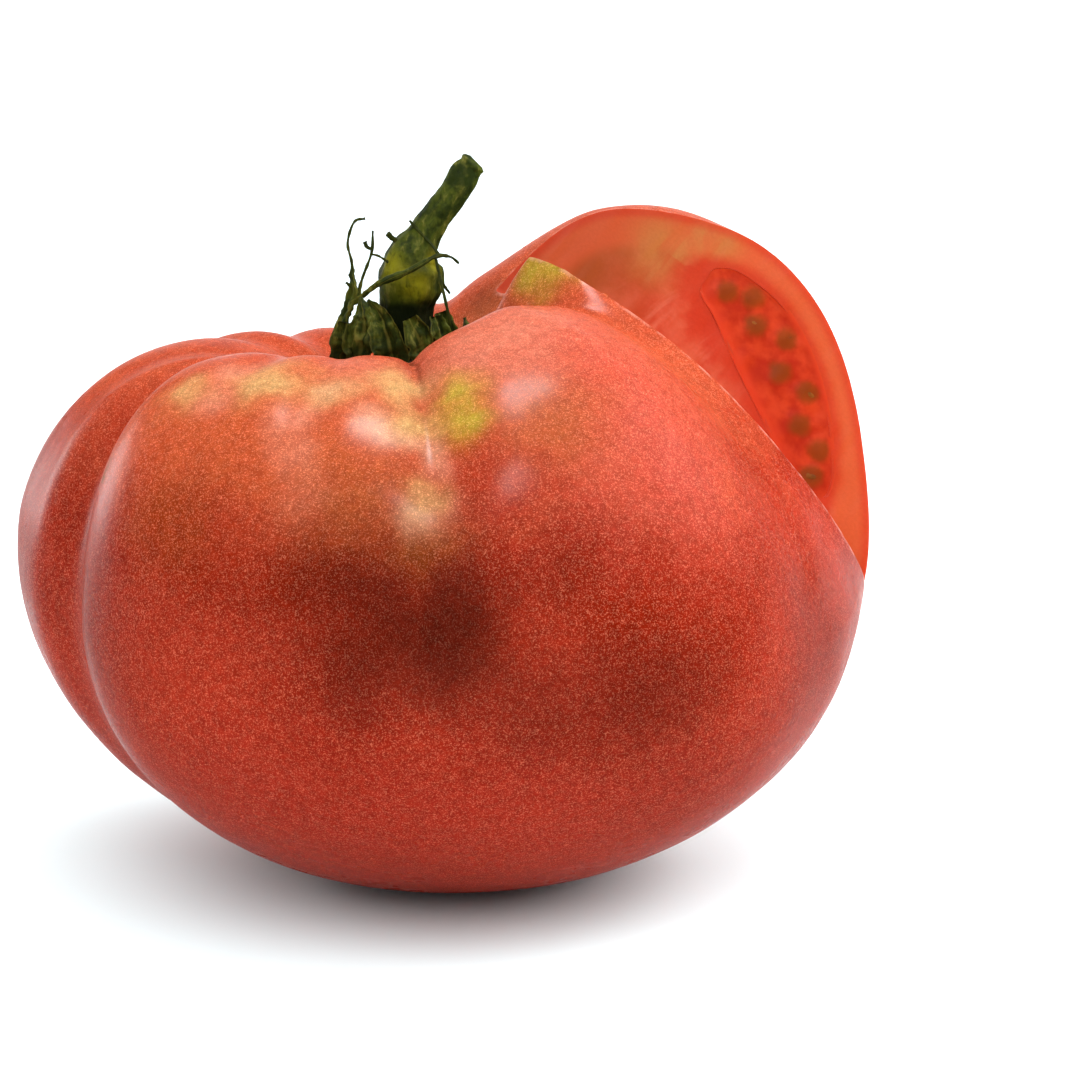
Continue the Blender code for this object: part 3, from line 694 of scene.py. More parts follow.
def seed_places(points, count):
    """Middle of each seed in its cut face and the direction of its length: a staggered, turning row."""
    number = np.arange(count)
    t = SEED_ROW[0] + (SEED_ROW[1] - SEED_ROW[0]) * number / (count - 1)
    middle, half, heading = chamber_line(points, t)
    sideways = (half - SEED_MARGIN) * np.where(number % 2, SEED_SIDES[1], SEED_SIDES[0])
    middle = middle + sideways[:, None] * beside(heading)
    tilt = np.radians(SEED_TILT + SEED_TILT_SWING * np.sin(SEED_TILT_STEP * number))[:, None]
    return middle, heading * np.cos(tilt) + beside(heading) * np.sin(tilt)


def gel_mesh(name, settings):
    """Gel in one chamber: level with the cut at its rim, low swells over the seeds, shallow dips between."""
    face, points, count = CHAMBERS[name]
    seeds, _ = seed_places(points, count)
    place, half, turn = chamber_steps(points, settings.gel_rings, GEL_COLUMNS, GEL_WIDER)
    seed_away = np.linalg.norm(place[..., None, :] - seeds, axis=-1).min(axis=-1)
    swell = GEL_DIP * np.exp(-(seed_away / GEL_SWELL_RADIUS) ** 2)
    inner = smooth((1 - np.abs(np.cos(turn))) / 0.25)
    top = GEL_LEVEL + inner * (-GEL_DIP + swell + 0.09 * ripple(in_plane(place), 1.8, 60 + face))
    below = GEL_BOWL - half * (CHAMBER_DEPTH - 0.05) * np.abs(np.sin(turn))
    mesh = closed_mesh(name, face_point(face, place, np.where(np.sin(turn) > -1e-6, top, below)))
    write_grid(mesh, "seed_away", seed_away, (5.0, 5.0))
    write_grid(mesh, "outer_rim", half * (1 - np.cos(turn)))
    write_grid(mesh, "inner_rim", half * (1 + np.cos(turn)))
    return mesh


def seed_meshes(name, settings):
    """Seeds as flat drops: a ball whose width narrows to one end, nearly all of it under the gel."""
    face, points, count = CHAMBERS[name]
    edge, way, normal = face_frame(face)
    polar, turn = turns(np.linspace(0, np.pi, SEED_RINGS)[1:-1], SEED_COLUMNS)
    point = np.cos(polar)
    drop = 1 - 0.42 * point * np.abs(point) ** 0.3
    rise = 0.62 * np.sin(polar) ** 0.8 * np.sign(np.sin(turn)) * np.abs(np.sin(turn)) ** 1.25
    meshes = []
    for number, (middle, heading) in enumerate(zip(*seed_places(points, count))):
        foot = face_point(face, middle, -settings.seed_sunk / MM)
        long_axis = heading[0] * edge + heading[1] * way
        size = 1 + 0.10 * np.sin(1.7 * number)
        width = settings.seed_width / MM / 2 * np.sin(polar) * drop * np.cos(turn) * size
        half_length = settings.seed_length / MM / 2 * size
        grid = foot + (half_length * point)[..., None] * long_axis
        grid = grid + width[..., None] * np.cross(normal, long_axis) + rise[..., None] * normal
        grid = grid + 0.04 * ripple(grid, 0.5, 70 + number)[..., None] * normal
        ends = (foot + half_length * long_axis, foot - half_length * long_axis)
        meshes.append(closed_mesh(name, grid, ends))
    return meshes


# stem and calyx


def ribbon_mesh(name, points, rings, columns, section):
    """Profile carried along a curve in space, closed at both ends.

    Its width lies round the stem's axis, or upright where the curve itself runs round the axis.
    section(t, turn, half) gives how far a point of the profile is to the side and off the ribbon's face.
    """
    t, turn = turns(np.linspace(0, 1, rings), columns)
    row = track(points, t)
    here, half = row[..., :3], row[..., 3]
    ahead = unit(track(points, t + 0.01)[..., :3] - track(points, t - 0.01)[..., :3])
    tangent = unit(np.stack([PIT_Y - here[..., 1], here[..., 0] - PIT_X - 0.01, np.zeros(t.shape)], -1))
    lean = 2 * dot(tangent, ahead) ** 2
    side = tangent + lean[..., None] * (0.0, 0.0, 1.0)
    side = unit(side - ahead * dot(side, ahead)[..., None])
    sideways, off = section(t, turn, half)
    grid = here + sideways[..., None] * side + off[..., None] * np.cross(ahead, side)
    mesh = closed_mesh(name, grid)
    write_grid(mesh, "across", np.cos(turn))
    thread = smooth((THREAD_HALF - half) / THREAD_CHANGE)
    write_grid(mesh, "thread", thread, (thread[0, 0], thread[-1, 0]))
    return mesh


def stem_mesh():
    """Stem: a round profile with low, turning ribs, a knobbly knuckle, a waist and a slanted, rounded tip."""
    def section(t, turn, half):
        ribs = 0.045 * np.cos(5 * turn + 3 * t) + 0.02 * np.cos(13 * turn - 5 * t)
        around_it = np.stack([np.cos(turn) * 3, np.sin(turn) * 3, t * 32], -1)
        knuckle = np.exp(-((t - 0.47) / 0.05) ** 2)
        rough = 0.05 * ripple(around_it, 1.6, 81) + 0.03 * ripple(around_it, 0.7, 82)
        rough = rough + 0.05 * knuckle * ripple(around_it, 1.1, 83)
        waist = -0.08 * np.exp(-((t - 0.30) / 0.055) ** 2)
        tip = 1 - 0.2 * smooth((t - 0.86) / 0.1) - 0.25 * smooth((t - 0.978) / 0.022) ** 2
        tip = tip + 0.14 * np.exp(-((t - 0.965) / 0.015) ** 2) * np.cos(turn - 2.6)
        radius = half * (0.95 + ribs + rough + waist) * tip
        return radius * np.cos(turn), radius * np.sin(turn)

    mesh = ribbon_mesh("stem", STEM, *STEM_GRID, section)
    points = point_array(mesh)
    top = smooth((points[:, 2] - 95.5) / 3.0)
    slant = 0.35 * (points[:, 0] - STEM[-1][0]) + 0.12 * ripple(points, 0.9, 84)
    cad_top = float(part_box("stem_calyx")[1][2]) / MM
    points[:, 2] = np.minimum(points[:, 2] - top * (0.25 + slant), cad_top - 0.2)
    mesh.vertices.foreach_set("co", (points * MM).ravel())
    mesh.update()
    return mesh


def sepal_mesh(number, points):
    """Dried sepal: a thin strip folded along its middle, pleated and crinkled, turning into a thread."""
    lifted = []
    for x, y, z, half in points:
        around_it = ((0, 0), (half, 0), (-half, 0), (0, half), (0, -half))
        skin = max(float(pit_height_at(x + dx, y + dy)) for dx, dy in around_it)
        lifted.append((x, y, max(z, skin + SEPAL_CLEAR), half))

    def section(t, turn, half):
        across = np.cos(turn)
        wide = smooth((half - 0.55) / 0.7)
        thread = 0.42 + 0.58 * wide
        where = np.stack([across * 1.6 + 9 * number, t * len(points) * 3.2, np.zeros(t.shape)], -1)
        knots = 1 + 0.25 * (1 - wide) * ripple(where * (0, 1, 0), 0.8, 160 + number)
        thin = np.minimum(half * thread, 0.18 + 0.10 * wide) * knots
        crinkle = wide * (0.7 * ripple(where, 1.3, 90 + number) + 0.30 * ripple(where, 0.5, 120 + number))
        fold = wide * 0.75 * half * (0.45 - across ** 2) * (1 if number % 2 else 0.6)
        pleat = wide * 0.16 * half * np.cos(across * 7.0 + 2 * t + number)
        sideways = half * across * thread * knots * (1 - 0.16 * wide * (1 + ripple(where, 0.9, 150 + number)))
        return sideways, thin * np.sin(turn) + 0.45 * crinkle + fold + pleat

    return ribbon_mesh(f"sepal_{number}", lifted, SEPAL_STEPS * len(points), SEPAL_COLUMNS, section)


def twig_mesh(number, points):
    """Thin strand or twig: a round, slightly knotty profile along its curve."""
    def section(t, turn, half):
        where = np.stack([np.cos(turn), np.sin(turn), t * 6 + 5 * number], -1)
        radius = half * (1 + 0.25 * ripple(where, 0.8, 170 + number))
        return radius * np.cos(turn), radius * np.sin(turn)

    return ribbon_mesh(f"twig_{number}", points, *TWIG_GRID, section)


def write_calyx(mesh, is_stem, is_sepal):
    """How much a point of the stem and calyx is yellow-green knuckle, in painted shade at its foot, and
    sepal.
    """
    points = point_array(mesh)
    bulb = sum(np.exp(-(np.linalg.norm(points - centre, axis=-1) / radius) ** 3)
               for centre, radius in BULB_SPOTS)
    write_number(mesh, "bulb", is_stem * np.minimum(bulb, 1.0))
    height, change, strength = STEM_FOOT_SHADE if is_stem else SEPAL_FOOT_SHADE
    write_number(mesh, "foot_shade", strength * smooth((height - points[:, 2]) / change))
    write_number(mesh, "is_sepal", np.full(len(points), float(is_sepal)))


# materials


class Nodes:
    """Short way to add nodes and join them; the place is an output of Texture Coordinate."""

    def __init__(self, tree, place):
        self.tree = tree
        self.place = self.node("TexCoord", {}, place)

    def join(self, socket, value):
        """Give an input a number, three numbers, or the output of another node."""
        if isinstance(value, bpy.types.NodeSocket):
            self.tree.links.new(value, socket)
        elif socket.type == "RGBA":
            socket.default_value = (*value, 1.0)
        else:
            socket.default_value = value

    def node(self, kind, inputs, output=0, **settings):
        """One output of a new node, from its settings and its inputs by name or number."""
        made = self.tree.nodes.new("ShaderNode" + kind)
        for name, value in settings.items():
            setattr(made, name, value)
        for key, value in inputs.items():
            self.join(made.inputs[key], value)
        return made.outputs[output]

    def number(self, name):
        """Number that the mesh carries for each point."""
        return self.node("Attribute", {}, "Fac", attribute_name=name)

    def vector(self, name):
        """Three numbers that the mesh carries for each point."""
        return self.node("Attribute", {}, "Vector", attribute_name=name)

    def noise(self, scale, detail=2.0, roughness=0.5, place=None, distortion=0.0):
        """Cloudy field; the scale is in features per metre."""
        return self.node("TexNoise", {"Vector": place or self.place, "Scale": scale, "Detail": detail,
                                      "Roughness": roughness, "Distortion": distortion}, "Fac")

    def math(self, operation, *values):
        """One sum on one, two or three numbers."""
        return self.node("Math", dict(enumerate(values)), operation=operation)

    def product(self, a, b):
        """Two numbers multiplied."""
        return self.math("MULTIPLY", a, b)

    def plus_number(self, value, field, amount, start):
        """Value with a share of a field and a constant added."""
        return self.math("ADD", value, self.math("ADD", self.product(field, amount), start))

    def span(self, value, low, high, start=0.0, end=1.0):
        """Ease from start to end while the value goes from low to high."""
        return self.node("MapRange", dict(enumerate((value, low, high, start, end))),
                         interpolation_type="SMOOTHSTEP")

    def mix(self, factor, a, b):
        """Colour between a and b."""
        return self.node("Mix", {0: factor, 6: a, 7: b}, 2, data_type="RGBA")

    def times(self, colour, number):
        """Colour made lighter or darker by a number."""
        return self.node("VectorMath", {0: colour, "Scale": number}, operation="SCALE")

    def plus(self, a, b):
        """Sum of two colours."""
        return self.node("VectorMath", {0: a, 1: b})

    def parts(self, vector):
        """The three coordinates of a place."""
        return self.node("SeparateXYZ", {0: vector}).node.outputs

    def blob(self, place, centre, radius):
        """1 at the centre, easing to 0 at the radius."""
        away = self.node("VectorMath", {0: place, 1: centre}, "Value", operation="DISTANCE")
        return self.span(away, radius, 0.2 * radius)

    def stretched(self, scale, place=None):
        """Place with each axis scaled."""
        return self.node("Mapping", {"Vector": place or self.place, "Scale": scale})

    def bump(self, height, distance, strength):
        """Normal from a height field."""
        return self.node("Bump", {"Height": height, "Distance": distance, "Strength": strength})


class Finish(Nodes):
    """Nodes of a new material, on Object coordinates."""

    def __init__(self, name):
        self.material = bpy.data.materials.new(name)
        self.material.use_nodes = True
        super().__init__(self.material.node_tree, "Object")

    def put(self, **values):
        """Values of the Principled shader, by the names of its inputs with _ for spaces."""
        shader = self.tree.nodes["Principled BSDF"]
        for name, value in values.items():
            self.join(shader.inputs[name.replace("_", " ")], value)


def skin_finish(settings):
    """Skin: deep red, orange on the shoulders, paler below, with patches, squiggly flecks and soft gloss, and
    painted shade, sheen and highlights.
    """
    f = Finish("tomato_skin")
    middle = f.noise(110.0, 3.0, 0.6, distortion=0.4)
    fine = f.noise(900.0, 3.0, 0.65)
    height = f.math("ADD", f.parts(f.place)[2], f.product(f.math("SUBTRACT", middle, 0.5), 0.03))
    colour = f.mix(f.span(f.noise(36.0, 2.0, 0.55), 0.36, 0.64), settings.skin_deep, settings.skin_pink)
    colour = f.mix(f.span(height, 0.040, 0.020, 0.0, 0.85), colour, settings.underside)
    colour = f.mix(f.span(height, 0.052, 0.080, 0.0, 0.95), colour, settings.shoulder)
    uneven = f.span(f.noise(260.0, 3.0, 0.7), 0.25, 0.75, 0.6, 1.0)
    tints = {**COLOURS, "gold": settings.gold, "green": settings.green}
    # of these patches the near-black one is painted shade, and the light pink, whitish pink and cream ones
    # are partly painted sheen and highlights
    for kind in ("pink_and_sheen", "rust", "rose_and_highlight", "olive", "painted_shade", "gold", "cream_and_highlight", "green"):
        amount = f.number(kind)
        if kind != "painted_shade":
            amount = f.product(amount, uneven)
        colour = f.mix(amount, colour, tints[kind])
    colour = f.mix(f.product(f.number("pit"), 0.5), colour, COLOURS["pit"])
    colour = f.times(colour, f.span(fine, 0.3, 0.7, 0.80, 1.10))

    squiggle = f.math("ABSOLUTE", f.math("SUBTRACT", f.noise(3300.0, 1.0, distortion=0.8), 0.5))
    fleck = f.product(f.span(squiggle, 0.065, 0.025), f.span(f.noise(4600.0, 1.0), 0.44, 0.56))
    lit = f.plus(f.times(colour, 1.4), f.times(settings.fleck_colour, 0.26))
    # the flecks fade in the painted shade
    shown = f.product(fleck, f.span(f.number("painted_shade"), 0.1, 0.9, settings.fleck_strength, 0.25))
    colour = f.mix(shown, colour, lit)

    # painted shade: a dark line along the bottom of the deep creases
    away = f.math("ABSOLUTE", f.plus_number(f.number("crease_side"), f.noise(500.0), 1.0, -0.5))
    colour = f.mix(f.product(f.span(away, 0.55, 0.05), f.number("crease_shade_amount")), colour, COLOURS["painted_crease_shade"])
    # pale skin along the cut's edge: partly whitish torn skin, partly a painted highlight
    pale = f.product(f.span(f.number("edge_away"), 0.75, 0.10), f.span(f.noise(420.0), 0.40, 0.62))
    colour = f.mix(f.product(pale, 0.4), colour, COLOURS["pale_edge_and_highlight"])
    scar = f.product(f.number("scar"), f.span(f.noise(900.0, 3.0), 0.42, 0.55))
    colour = f.mix(scar, colour, COLOURS["scar"])
    roughness = f.math("ADD", f.span(middle, 0.3, 0.7, 0.25, 0.33), f.product(scar, 0.3))
    f.put(Base_Color=colour, Roughness=roughness, IOR=1.42, Specular_IOR_Level=0.015)
    f.put(Coat_Weight=0.02, Coat_Roughness=0.2)
    f.put(Subsurface_Weight=0.08, Subsurface_Scale=0.0015, Subsurface_Radius=(1.0, 0.2, 0.1))
    f.put(Normal=f.bump(f.math("ADD", f.product(fleck, 0.8), f.product(fine, 0.8)), 0.00005, 0.7))
    return f.material


def flesh_finish(settings):
    """Cut flesh: orange-red wall, deep red round the seeds, cloudy pink core, ochre towards the stem."""
    f = Finish("tomato_flesh")
    rim, chamber, place = f.number("rim"), f.number("chamber"), f.vector("cut_place")
    along = f.parts(place)[0]
    clouds = f.noise(0.16, 3.0, 0.55, place)
    wisps = f.noise(0.30, 4.0, 0.6, f.stretched((1.0, 0.35, 7.0), place), 0.8)
    grain = f.noise(2.2, 3.0, 0.7, place)

    colour = f.mix(f.span(clouds, 0.35, 0.65), settings.core_red, settings.core_pink)
    colour = f.mix(f.span(wisps, 0.50, 0.74, 0.0, 0.45), colour, COLOURS["wisp"])
    stem_end = f.product(f.span(f.plus_number(along, clouds, 16.0, -8.0), 21.0, 6.0), f.span(rim, 1.0, 4.0))
    colour = f.mix(f.product(stem_end, 0.9), colour, COLOURS["stem_end"])
    wall = f.span(f.plus_number(rim, grain, 1.0, -0.5), 6.6, 4.2)
    colour = f.mix(wall, colour, settings.wall_red)
    ochre = f.math("MAXIMUM", *(f.blob(place, centre, radius) for centre, radius in OCHRE_BLOBS))
    colour = f.mix(f.product(ochre, f.span(wisps, 0.35, 0.6, 0.4, 0.8)), colour, COLOURS["ochre"])
    near = f.span(f.plus_number(chamber, clouds, 2.0, -1.0), 2.4, 0.2)
    colour = f.mix(f.product(near, 0.85), colour, settings.locule_red)
    colour = f.mix(f.span(rim, 1.8, 0.4, 0.0, 0.7), colour, COLOURS["under_skin"])
    stem_side = f.span(along, 2.0, 24.0, 0.80, 0.96)
    colour = f.times(colour, f.product(stem_side, f.span(grain, 0.25, 0.75, 0.90, 1.0)))
    f.put(Base_Color=colour, Roughness=f.span(grain, 0.3, 0.7, 0.34, 0.48), IOR=1.36, Specular_IOR_Level=0.1)
    f.put(Coat_Weight=0.02, Coat_Roughness=0.2)
    f.put(Subsurface_Weight=0.2, Subsurface_Scale=0.003, Subsurface_Radius=(1.0, 0.25, 0.1))
    f.put(Normal=f.bump(f.math("ADD", f.product(grain, 0.5), f.product(wisps, 0.5)), 0.00010, 0.5))
    return f.material


def gel_finish(settings):
    """Seed gel: clear deep red, brownish olive over the seeds, the colour of the flesh at its rim, wet."""
    f = Finish("seed_gel")
    colour = f.mix(f.span(f.noise(300.0, 3.0, 0.6), 0.35, 0.7), settings.gel_deep, settings.gel_light)
    around_seed = f.plus_number(f.number("seed_away"), f.noise(600.0), 1.2, -0.6)
    colour = f.mix(f.span(around_seed, 2.3, 0.9, 0.0, 0.8), colour, settings.gel_olive)
    colour = f.mix(f.span(f.number("outer_rim"), 1.1, 0.0), colour, COLOURS["outer_rim"])
    colour = f.mix(f.span(f.number("inner_rim"), 2.4, 0.0), colour, COLOURS["inner_rim"])
    f.put(Base_Color=colour, Roughness=0.34, IOR=1.35, Specular_IOR_Level=0.1)
    f.put(Coat_Weight=0.02, Coat_Roughness=0.2)
    f.put(Subsurface_Weight=0.25, Subsurface_Scale=0.002, Subsurface_Radius=(1.0, 0.2, 0.08))
    f.put(Normal=f.bump(f.noise(900.0), 0.00008, 0.4))
    return f.material


def seed_finish(settings):
    """Seed under a film of gel: mottled olive brown, finely fuzzy, wet."""
    f = Finish("tomato_seed")
    fuzz = f.noise(2600.0, 3.0, 0.7)
    colour = f.mix(f.span(f.noise(520.0), 0.35, 0.65), settings.seed_tan, settings.seed_olive)
    colour = f.times(colour, f.span(fuzz, 0.3, 0.7, 0.8, 1.12))
    f.put(Base_Color=colour, Roughness=0.5, IOR=1.36, Specular_IOR_Level=0.12)
    f.put(Subsurface_Weight=0.2, Subsurface_Scale=0.001)
    f.put(Normal=f.bump(fuzz, 0.00004, 0.5))
    return f.material


def calyx_finish(settings):
    """Stem and dried calyx: mottled dark green and olive, yellow-green knuckle, near black in the furrows
    partly as painted shade, painted shade at its foot, sepal edges partly a painted highlight.
    """
    f = Finish("dry_calyx")
    strands = f.noise(1.0, 4.0, 0.65, f.stretched((800.0, 800.0, 260.0)), 0.5)
    blotch = f.noise(330.0, 3.0, 0.65)
    grain = f.noise(2000.0, 3.0, 0.7)
    colour = f.mix(f.span(blotch, 0.40, 0.62), settings.calyx_dark, settings.calyx_green)
    light = f.product(f.span(strands, 0.50, 0.70), f.span(blotch, 0.40, 0.58, 0.1, 0.9))
    colour = f.mix(light, colour, settings.calyx_olive)
    bulb = f.product(f.number("bulb"), f.span(blotch, 0.30, 0.55, 0.45, 1.0))
    colour = f.mix(bulb, colour, settings.bulb_green)
    across, is_sepal = f.math("ABSOLUTE", f.number("across")), f.number("is_sepal")
    vein = f.product(f.span(across, 0.14, 0.02), is_sepal)
    colour = f.mix(f.product(vein, 0.5), colour, settings.calyx_olive)
    # lighter sepal edges: partly dry edges, partly a painted rim highlight
    edge = f.product(f.span(across, 0.86, 0.98), is_sepal)
    colour = f.mix(f.product(edge, 0.45), colour, COLOURS["sepal_edge_and_highlight"])
    colour = f.mix(f.product(f.number("thread"), 0.7), colour, COLOURS["thread"])
    # painted shade: near black towards the foot of the stem and of the sepals, down in the pit
    colour = f.mix(f.number("foot_shade"), colour, COLOURS["foot_shade"])
    # near black in the furrows of the bump: partly the dry calyx's dark grooves, partly painted shade
    colour = f.mix(f.span(strands, 0.44, 0.28, 0.0, 0.8), colour, COLOURS["furrow_and_shade"])
    f.put(Base_Color=colour, Roughness=f.span(grain, 0.3, 0.7, 0.7, 0.95), IOR=1.4, Specular_IOR_Level=0.06)
    f.put(Normal=f.bump(f.math("ADD", strands, f.product(grain, 0.35)), 0.0003, 0.9))
    return f.material


def floor_finish():
    """Plain pale floor, very slightly cool, which evens out the red light that the fruit throws on it."""
    f = Finish("pale_floor")
    tone = f.span(f.noise(3.0), 0.3, 0.7, 0.985, 1.0)
    f.put(Base_Color=f.times(COLOURS["floor"], tone), Roughness=0.9, Specular_IOR_Level=0.1)
    return f.material


# stage


def add_light(name, kind, power, azimuth, elevation, distance, size, seen):
    """Light that looks at the fruit, azimuth to the right from the camera's side and elevation in degrees.

    The size is an area's width in metres or a sun's angle in degrees. The last word says whether the light
    falls on matt surfaces, shows as gloss, or both.
    """
    lamp = bpy.data.lights.new(name, kind)
    lamp.energy = power
    if kind == "SUN":
        lamp.angle = float(np.radians(size))
    else:
        lamp.size = size
    light = new_object(name, lamp)
    light.visible_diffuse = seen != "gloss"
    light.visible_glossy = seen != "matt"
    turn, rise = np.radians(azimuth), np.radians(elevation)
    away = Vector((np.sin(turn) * np.cos(rise), -np.cos(turn) * np.cos(rise), np.sin(rise)))
    light.location = AIM + away * distance
    light.rotation_euler = away.to_track_quat("Z", "Y").to_euler()


def add_camera(scene, settings):
    """Camera in front of the fruit and a little above it, its lens worked out from the picture's width."""
    back = Vector((0.0, -np.cos(settings.elevation), np.sin(settings.elevation)))
    camera = new_object("camera", bpy.data.cameras.new("camera"))
    camera.location = AIM + back * settings.distance
    camera.rotation_euler = (-back).to_track_quat("-Z", "Y").to_euler()
    camera.data.sensor_width = SENSOR_WIDTH
    camera.data.lens = SENSOR_WIDTH * settings.distance / settings.span
    camera.data.clip_start = 0.01
    scene.camera = camera


def add_surroundings(scene, settings):
    """Soft surroundings: brightest straight above, pale at the sides and behind, dark low in front."""
    scene.world = bpy.data.worlds.new("surroundings")
    scene.world.use_nodes = True
    f = Nodes(scene.world.node_tree, "Generated")
    _, depth, up = f.parts(f.place)
    above = f.span(up, 0.10, 0.95, 0.62, settings.overhead)
    behind = f.span(f.math("MULTIPLY_ADD", up, 0.6, depth), -0.65, 0.15, 0.05, 1.0)
    f.join(f.tree.nodes["Background"].inputs["Strength"], f.product(above, behind))


# sizes and colours that a user would change


def colour_property(name, description, default):
    """Colour setting."""
    return FloatVectorProperty(name=name, description=description, default=default, min=0.0, max=1.0, size=3,
                               subtype="COLOR")


def length_property(name, description, default, low, high):
    """Length setting in metres."""
    return FloatProperty(name=name, description=description, default=default, min=low, max=high,
                         unit="LENGTH", subtype="DISTANCE")


def power_property(name, description, default):
    """Setting for the power of a light in watts."""
    return FloatProperty(name=name, description=description, default=default, min=0.0, max=100.0,
                         unit="POWER")


def count_property(name, description, default, low, high):
    """Setting for a whole number."""
    return IntProperty(name=name, description=description, default=default, min=low, max=high)


class TomatoFruitSettings(bpy.types.PropertyGroup):
    """Skin and cut flesh."""

    segments: count_property("Columns", "Columns of the skin round the stem axis", 336, 96, 360)
    rings: count_property("Rings", "Rings of the skin from the pit to the flat spot", 184, 64, 200)
    wobble: length_property("Wobble", "Depth of the slow unevenness of the skin", 0.0005, 0.0, 0.002)
    cut_step: length_property("Cut step", "Grid step of the two cut faces", 0.0005, 0.0003, 0.002)
    skin_deep: colour_property("Deep skin", "Deeper red of the skin", (0.235, 0.0100, 0.002))
    skin_pink: colour_property("Pink skin", "Pinker red of the skin", (0.325, 0.020, 0.007))
    underside: colour_property("Underside", "Paler red of the lower part", (0.290, 0.016, 0.007))
    shoulder: colour_property("Shoulder", "Orange red of the shoulders", (0.41, 0.060, 0.021))
    gold: colour_property("Gold", "Gold patches on the shoulders", (0.50, 0.31, 0.115))
    green: colour_property("Green", "Green patches on the shoulders", (0.34, 0.27, 0.024))
    fleck_colour: colour_property("Flecks", "Fine light flecks in the skin", (0.85, 0.36, 0.20))
    fleck_strength: FloatProperty(name="Fleck strength", description="How strongly the flecks show",
                                  default=0.85, min=0.0, max=1.0, subtype="FACTOR")
    core_red: colour_property("Core red", "Deeper colour of the core", (0.50, 0.038, 0.010))
    core_pink: colour_property("Core pink", "Lighter colour of the core", (0.56, 0.085, 0.034))
    wall_red: colour_property("Wall", "Outer wall under the skin", (0.55, 0.084, 0.022))
    locule_red: colour_property("Locule", "Deep red of the flesh round the seeds", (0.48, 0.026, 0.004))


class TomatoGelSettings(bpy.types.PropertyGroup):
    """Gel and seeds."""

    gel_rings: count_property("Gel rings", "Steps along each gel body", 150, 40, 240)
    seed_length: length_property("Seed length", "Length of a seed", 0.0036, 0.002, 0.006)
    seed_width: length_property("Seed width", "Width of a seed", 0.0023, 0.001, 0.004)
    seed_sunk: length_property("Seed depth", "Depth of the seeds' middles under the cut", 0.0006, 0.0, 0.001)
    gel_deep: colour_property("Deep gel", "Deepest colour of the gel", (0.34, 0.014, 0.001))
    gel_light: colour_property("Light gel", "Lighter colour of the gel", (0.48, 0.036, 0.006))
    gel_olive: colour_property("Gel over seeds", "Colour of the gel over the seeds", (0.20, 0.034, 0.001))
    seed_tan: colour_property("Seed", "Main colour of the seeds", (0.27, 0.065, 0.003))
    seed_olive: colour_property("Seed shade", "Darker colour of the seeds", (0.16, 0.036, 0.001))


class TomatoStemSettings(bpy.types.PropertyGroup):
    """Stem and calyx."""

    calyx_dark: colour_property("Dark", "Darkest green of stem and calyx", (0.016, 0.024, 0.003))
    calyx_green: colour_property("Green", "Main green of stem and calyx", (0.050, 0.062, 0.006))
    calyx_olive: colour_property("Olive", "Light strands of stem and calyx", (0.15, 0.14, 0.026))
    bulb_green: colour_property("Knuckle", "Yellow green of the stem's knuckle", (0.18, 0.165, 0.005))


class TomatoStageSettings(bpy.types.PropertyGroup):
    """Floor, lights and camera."""

    distance: length_property("Distance", "From the camera to the point it looks at", 0.62, 0.3, 2.0)
    elevation: FloatProperty(name="Elevation", description="Height of the camera above the horizon",
                             default=float(np.radians(13.0)), min=0.0, max=1.5, unit="ROTATION",
                             subtype="ANGLE")
    span: length_property("Span", "Width of the picture at the point it looks at", 0.1485, 0.1, 0.5)
    overhead: FloatProperty(name="Overhead", description="Brightness of the surroundings straight above",
                            default=2.5, min=0.0, max=10.0)
    sky: FloatProperty(name="Sky", description="Strength of the soft light from all of the upper side",
                       default=3.9, min=0.0, max=10.0)
    front: power_property("Front fill", "Power of the broad light from the front", 11.0)
    side: power_property("Side light", "Power of the light from the right", 9.0)


# operators


class TOMATO_OT_fruit(bpy.types.Operator):
    """Skin and cut flesh as one closed piece"""

    bl_idname = "tomato.fruit"
    bl_label = "Fruit"

    def execute(self, context):
        settings = context.scene.tomato_fruit
        finishes = [skin_finish(settings), flesh_finish(settings)]
        fruit = new_object("tomato_fruit", fruit_mesh(settings))
        add_finishes(fruit.data, finishes, 0)
        for cutter_mesh in (wedge_mesh(settings), *map(chamber_cutter, CHAMBERS)):
            add_finishes(cutter_mesh, finishes, 1)
            cut_away(fruit, new_object("cutter", cutter_mesh))
        is_flesh = read_numbers(fruit.data.polygons, "material_index") == 1
        if not is_flesh.any():
            raise RuntimeError("the cut faces didn't keep their material")
        points = point_array(fruit.data)
        write_patches(fruit.data, points)
        write_creases(fruit.data, points)
        write_cut(fruit.data, points, is_flesh)
        mark_sharp(fruit.data, is_flesh)
        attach(fruit, "root")
        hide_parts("fruit")
        return {"FINISHED"}


class TOMATO_OT_gel(bpy.types.Operator):
    """Gel with its seeds in both seed chambers"""

    bl_idname = "tomato.gel"
    bl_label = "Gel and seeds"

    def execute(self, context):
        settings = context.scene.tomato_gel
        finishes = [gel_finish(settings), seed_finish(settings)]
        for node in CHAMBERS:
            meshes = [gel_mesh(node, settings), *seed_meshes(node, settings)]
            for number, mesh in enumerate(meshes):
                add_finishes(mesh, finishes, min(number, 1))
            gel = join_meshes("tomato_" + node, meshes)
            gel.data.set_sharp_from_angle(angle=np.radians(GEL_SHARP))
            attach(gel, "root")
            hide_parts(node)
        return {"FINISHED"}


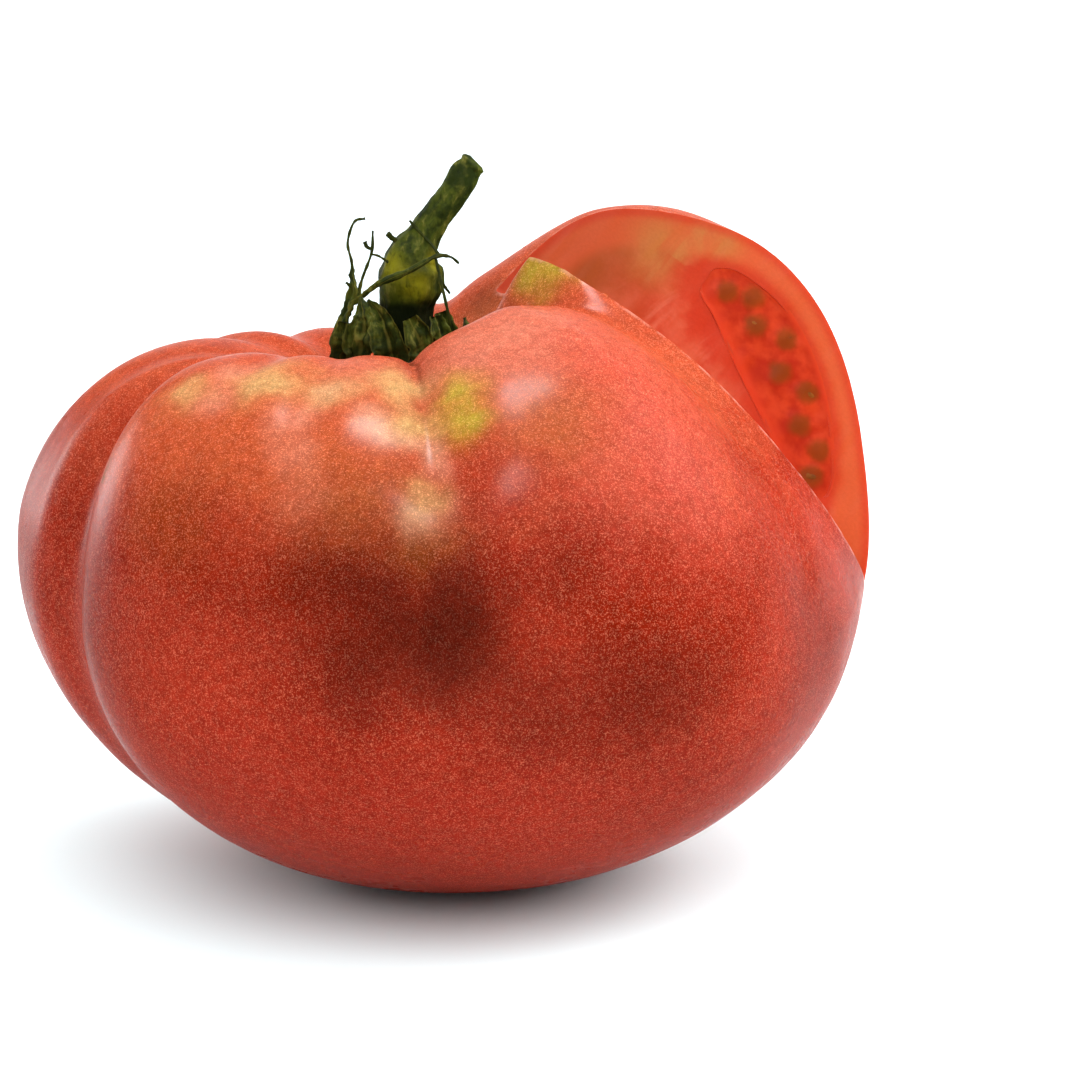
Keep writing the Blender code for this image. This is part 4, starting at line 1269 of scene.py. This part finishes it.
class TOMATO_OT_stem(bpy.types.Operator):
    """Stem with its dried calyx"""

    bl_idname = "tomato.stem"
    bl_label = "Stem and calyx"

    def execute(self, context):
        finish = calyx_finish(context.scene.tomato_stem)
        sepals = [sepal_mesh(number, points) for number, points in enumerate(SEPALS)]
        twigs = [twig_mesh(number, points) for number, points in enumerate(TWIGS)]
        meshes = [stem_mesh(), *sepals, *twigs]
        for mesh in meshes:
            write_calyx(mesh, mesh == meshes[0], mesh in sepals)
            add_finishes(mesh, [finish], 0)
        stem = join_meshes("tomato_stem_calyx", meshes)
        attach(stem, "root")
        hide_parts("stem_calyx")
        return {"FINISHED"}


class TOMATO_OT_stage(bpy.types.Operator):
    """Plain floor, soft lights and the camera"""

    bl_idname = "tomato.stage"
    bl_label = "Stage"

    def execute(self, context):
        scene, settings = context.scene, context.scene.tomato_stage
        mesh = bpy.data.meshes.new("floor")
        corners = [(x * FLOOR_REACH, y * FLOOR_REACH, 0.0) for x, y in ((-1, -1), (1, -1), (1, 1), (-1, 1))]
        mesh.from_pydata(corners, [], [(0, 1, 2, 3)])
        mesh.materials.append(floor_finish())
        floor = new_object("floor", mesh)
        add_camera(scene, settings)
        for light in (("front_fill", "AREA", settings.front, 0, 42, 1.2, 1.6, "matt"),
                      ("sky_dome", "SUN", settings.sky, 0, 90, 2.0, 130, "matt"),
                      ("side_light", "AREA", settings.side, 110, 28, 0.9, 0.65, "matt"),
                      ("side_shine", "AREA", 8.0, 92, 42, 0.9, 0.6, "gloss"),
                      ("left_light", "AREA", 3.0, -131, 4, 0.8, 0.3, "both"),
                      ("left_shine", "AREA", 5.0, -131, 4, 0.8, 0.3, "gloss"),
                      ("rim_shine", "AREA", 2.0, 180, 12, 1.1, 0.8, "gloss"),
                      ("front_shine", "AREA", 4.0, 3, 57, 0.8, 0.07, "gloss"),
                      ("overhead_shine", "SUN", 9.0, 180, 86, 2.0, 13, "gloss")):
            add_light(*light)
        add_surroundings(scene, settings)
        scene.view_settings.view_transform = "Standard"
        return {"FINISHED"}


SETTINGS = {"tomato_fruit": TomatoFruitSettings, "tomato_gel": TomatoGelSettings,
            "tomato_stem": TomatoStemSettings, "tomato_stage": TomatoStageSettings}


class TOMATO_PT_panel(bpy.types.Panel):
    """Buttons and settings of the tomato"""

    bl_idname = "TOMATO_PT_panel"
    bl_label = "Ribbed tomato"
    bl_space_type = "VIEW_3D"
    bl_region_type = "UI"
    bl_category = "Tomato"

    def draw(self, context):
        for name in SETTINGS:
            box = self.layout.box()
            box.operator(name.replace("_", "."))
            settings = getattr(context.scene, name)
            for key in settings.bl_rna.properties.keys():
                if key not in ("rna_type", "name"):
                    box.prop(settings, key)


CLASSES = (*SETTINGS.values(), TOMATO_OT_fruit, TOMATO_OT_gel, TOMATO_OT_stem, TOMATO_OT_stage,
           TOMATO_PT_panel)


def register():
    """Add the classes, and the settings to the scene."""
    for item in CLASSES:
        bpy.utils.register_class(item)
    for name, group in SETTINGS.items():
        setattr(bpy.types.Scene, name, PointerProperty(type=group))


def unregister():
    """Take the settings and the classes away again."""
    for name in SETTINGS:
        delattr(bpy.types.Scene, name)
    for item in reversed(CLASSES):
        bpy.utils.unregister_class(item)


def main():
    """Build everything."""
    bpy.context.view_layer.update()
    register()
    bpy.ops.tomato.fruit()
    bpy.ops.tomato.gel()
    bpy.ops.tomato.stem()
    bpy.ops.tomato.stage()


if __name__ == "__main__":
    main()
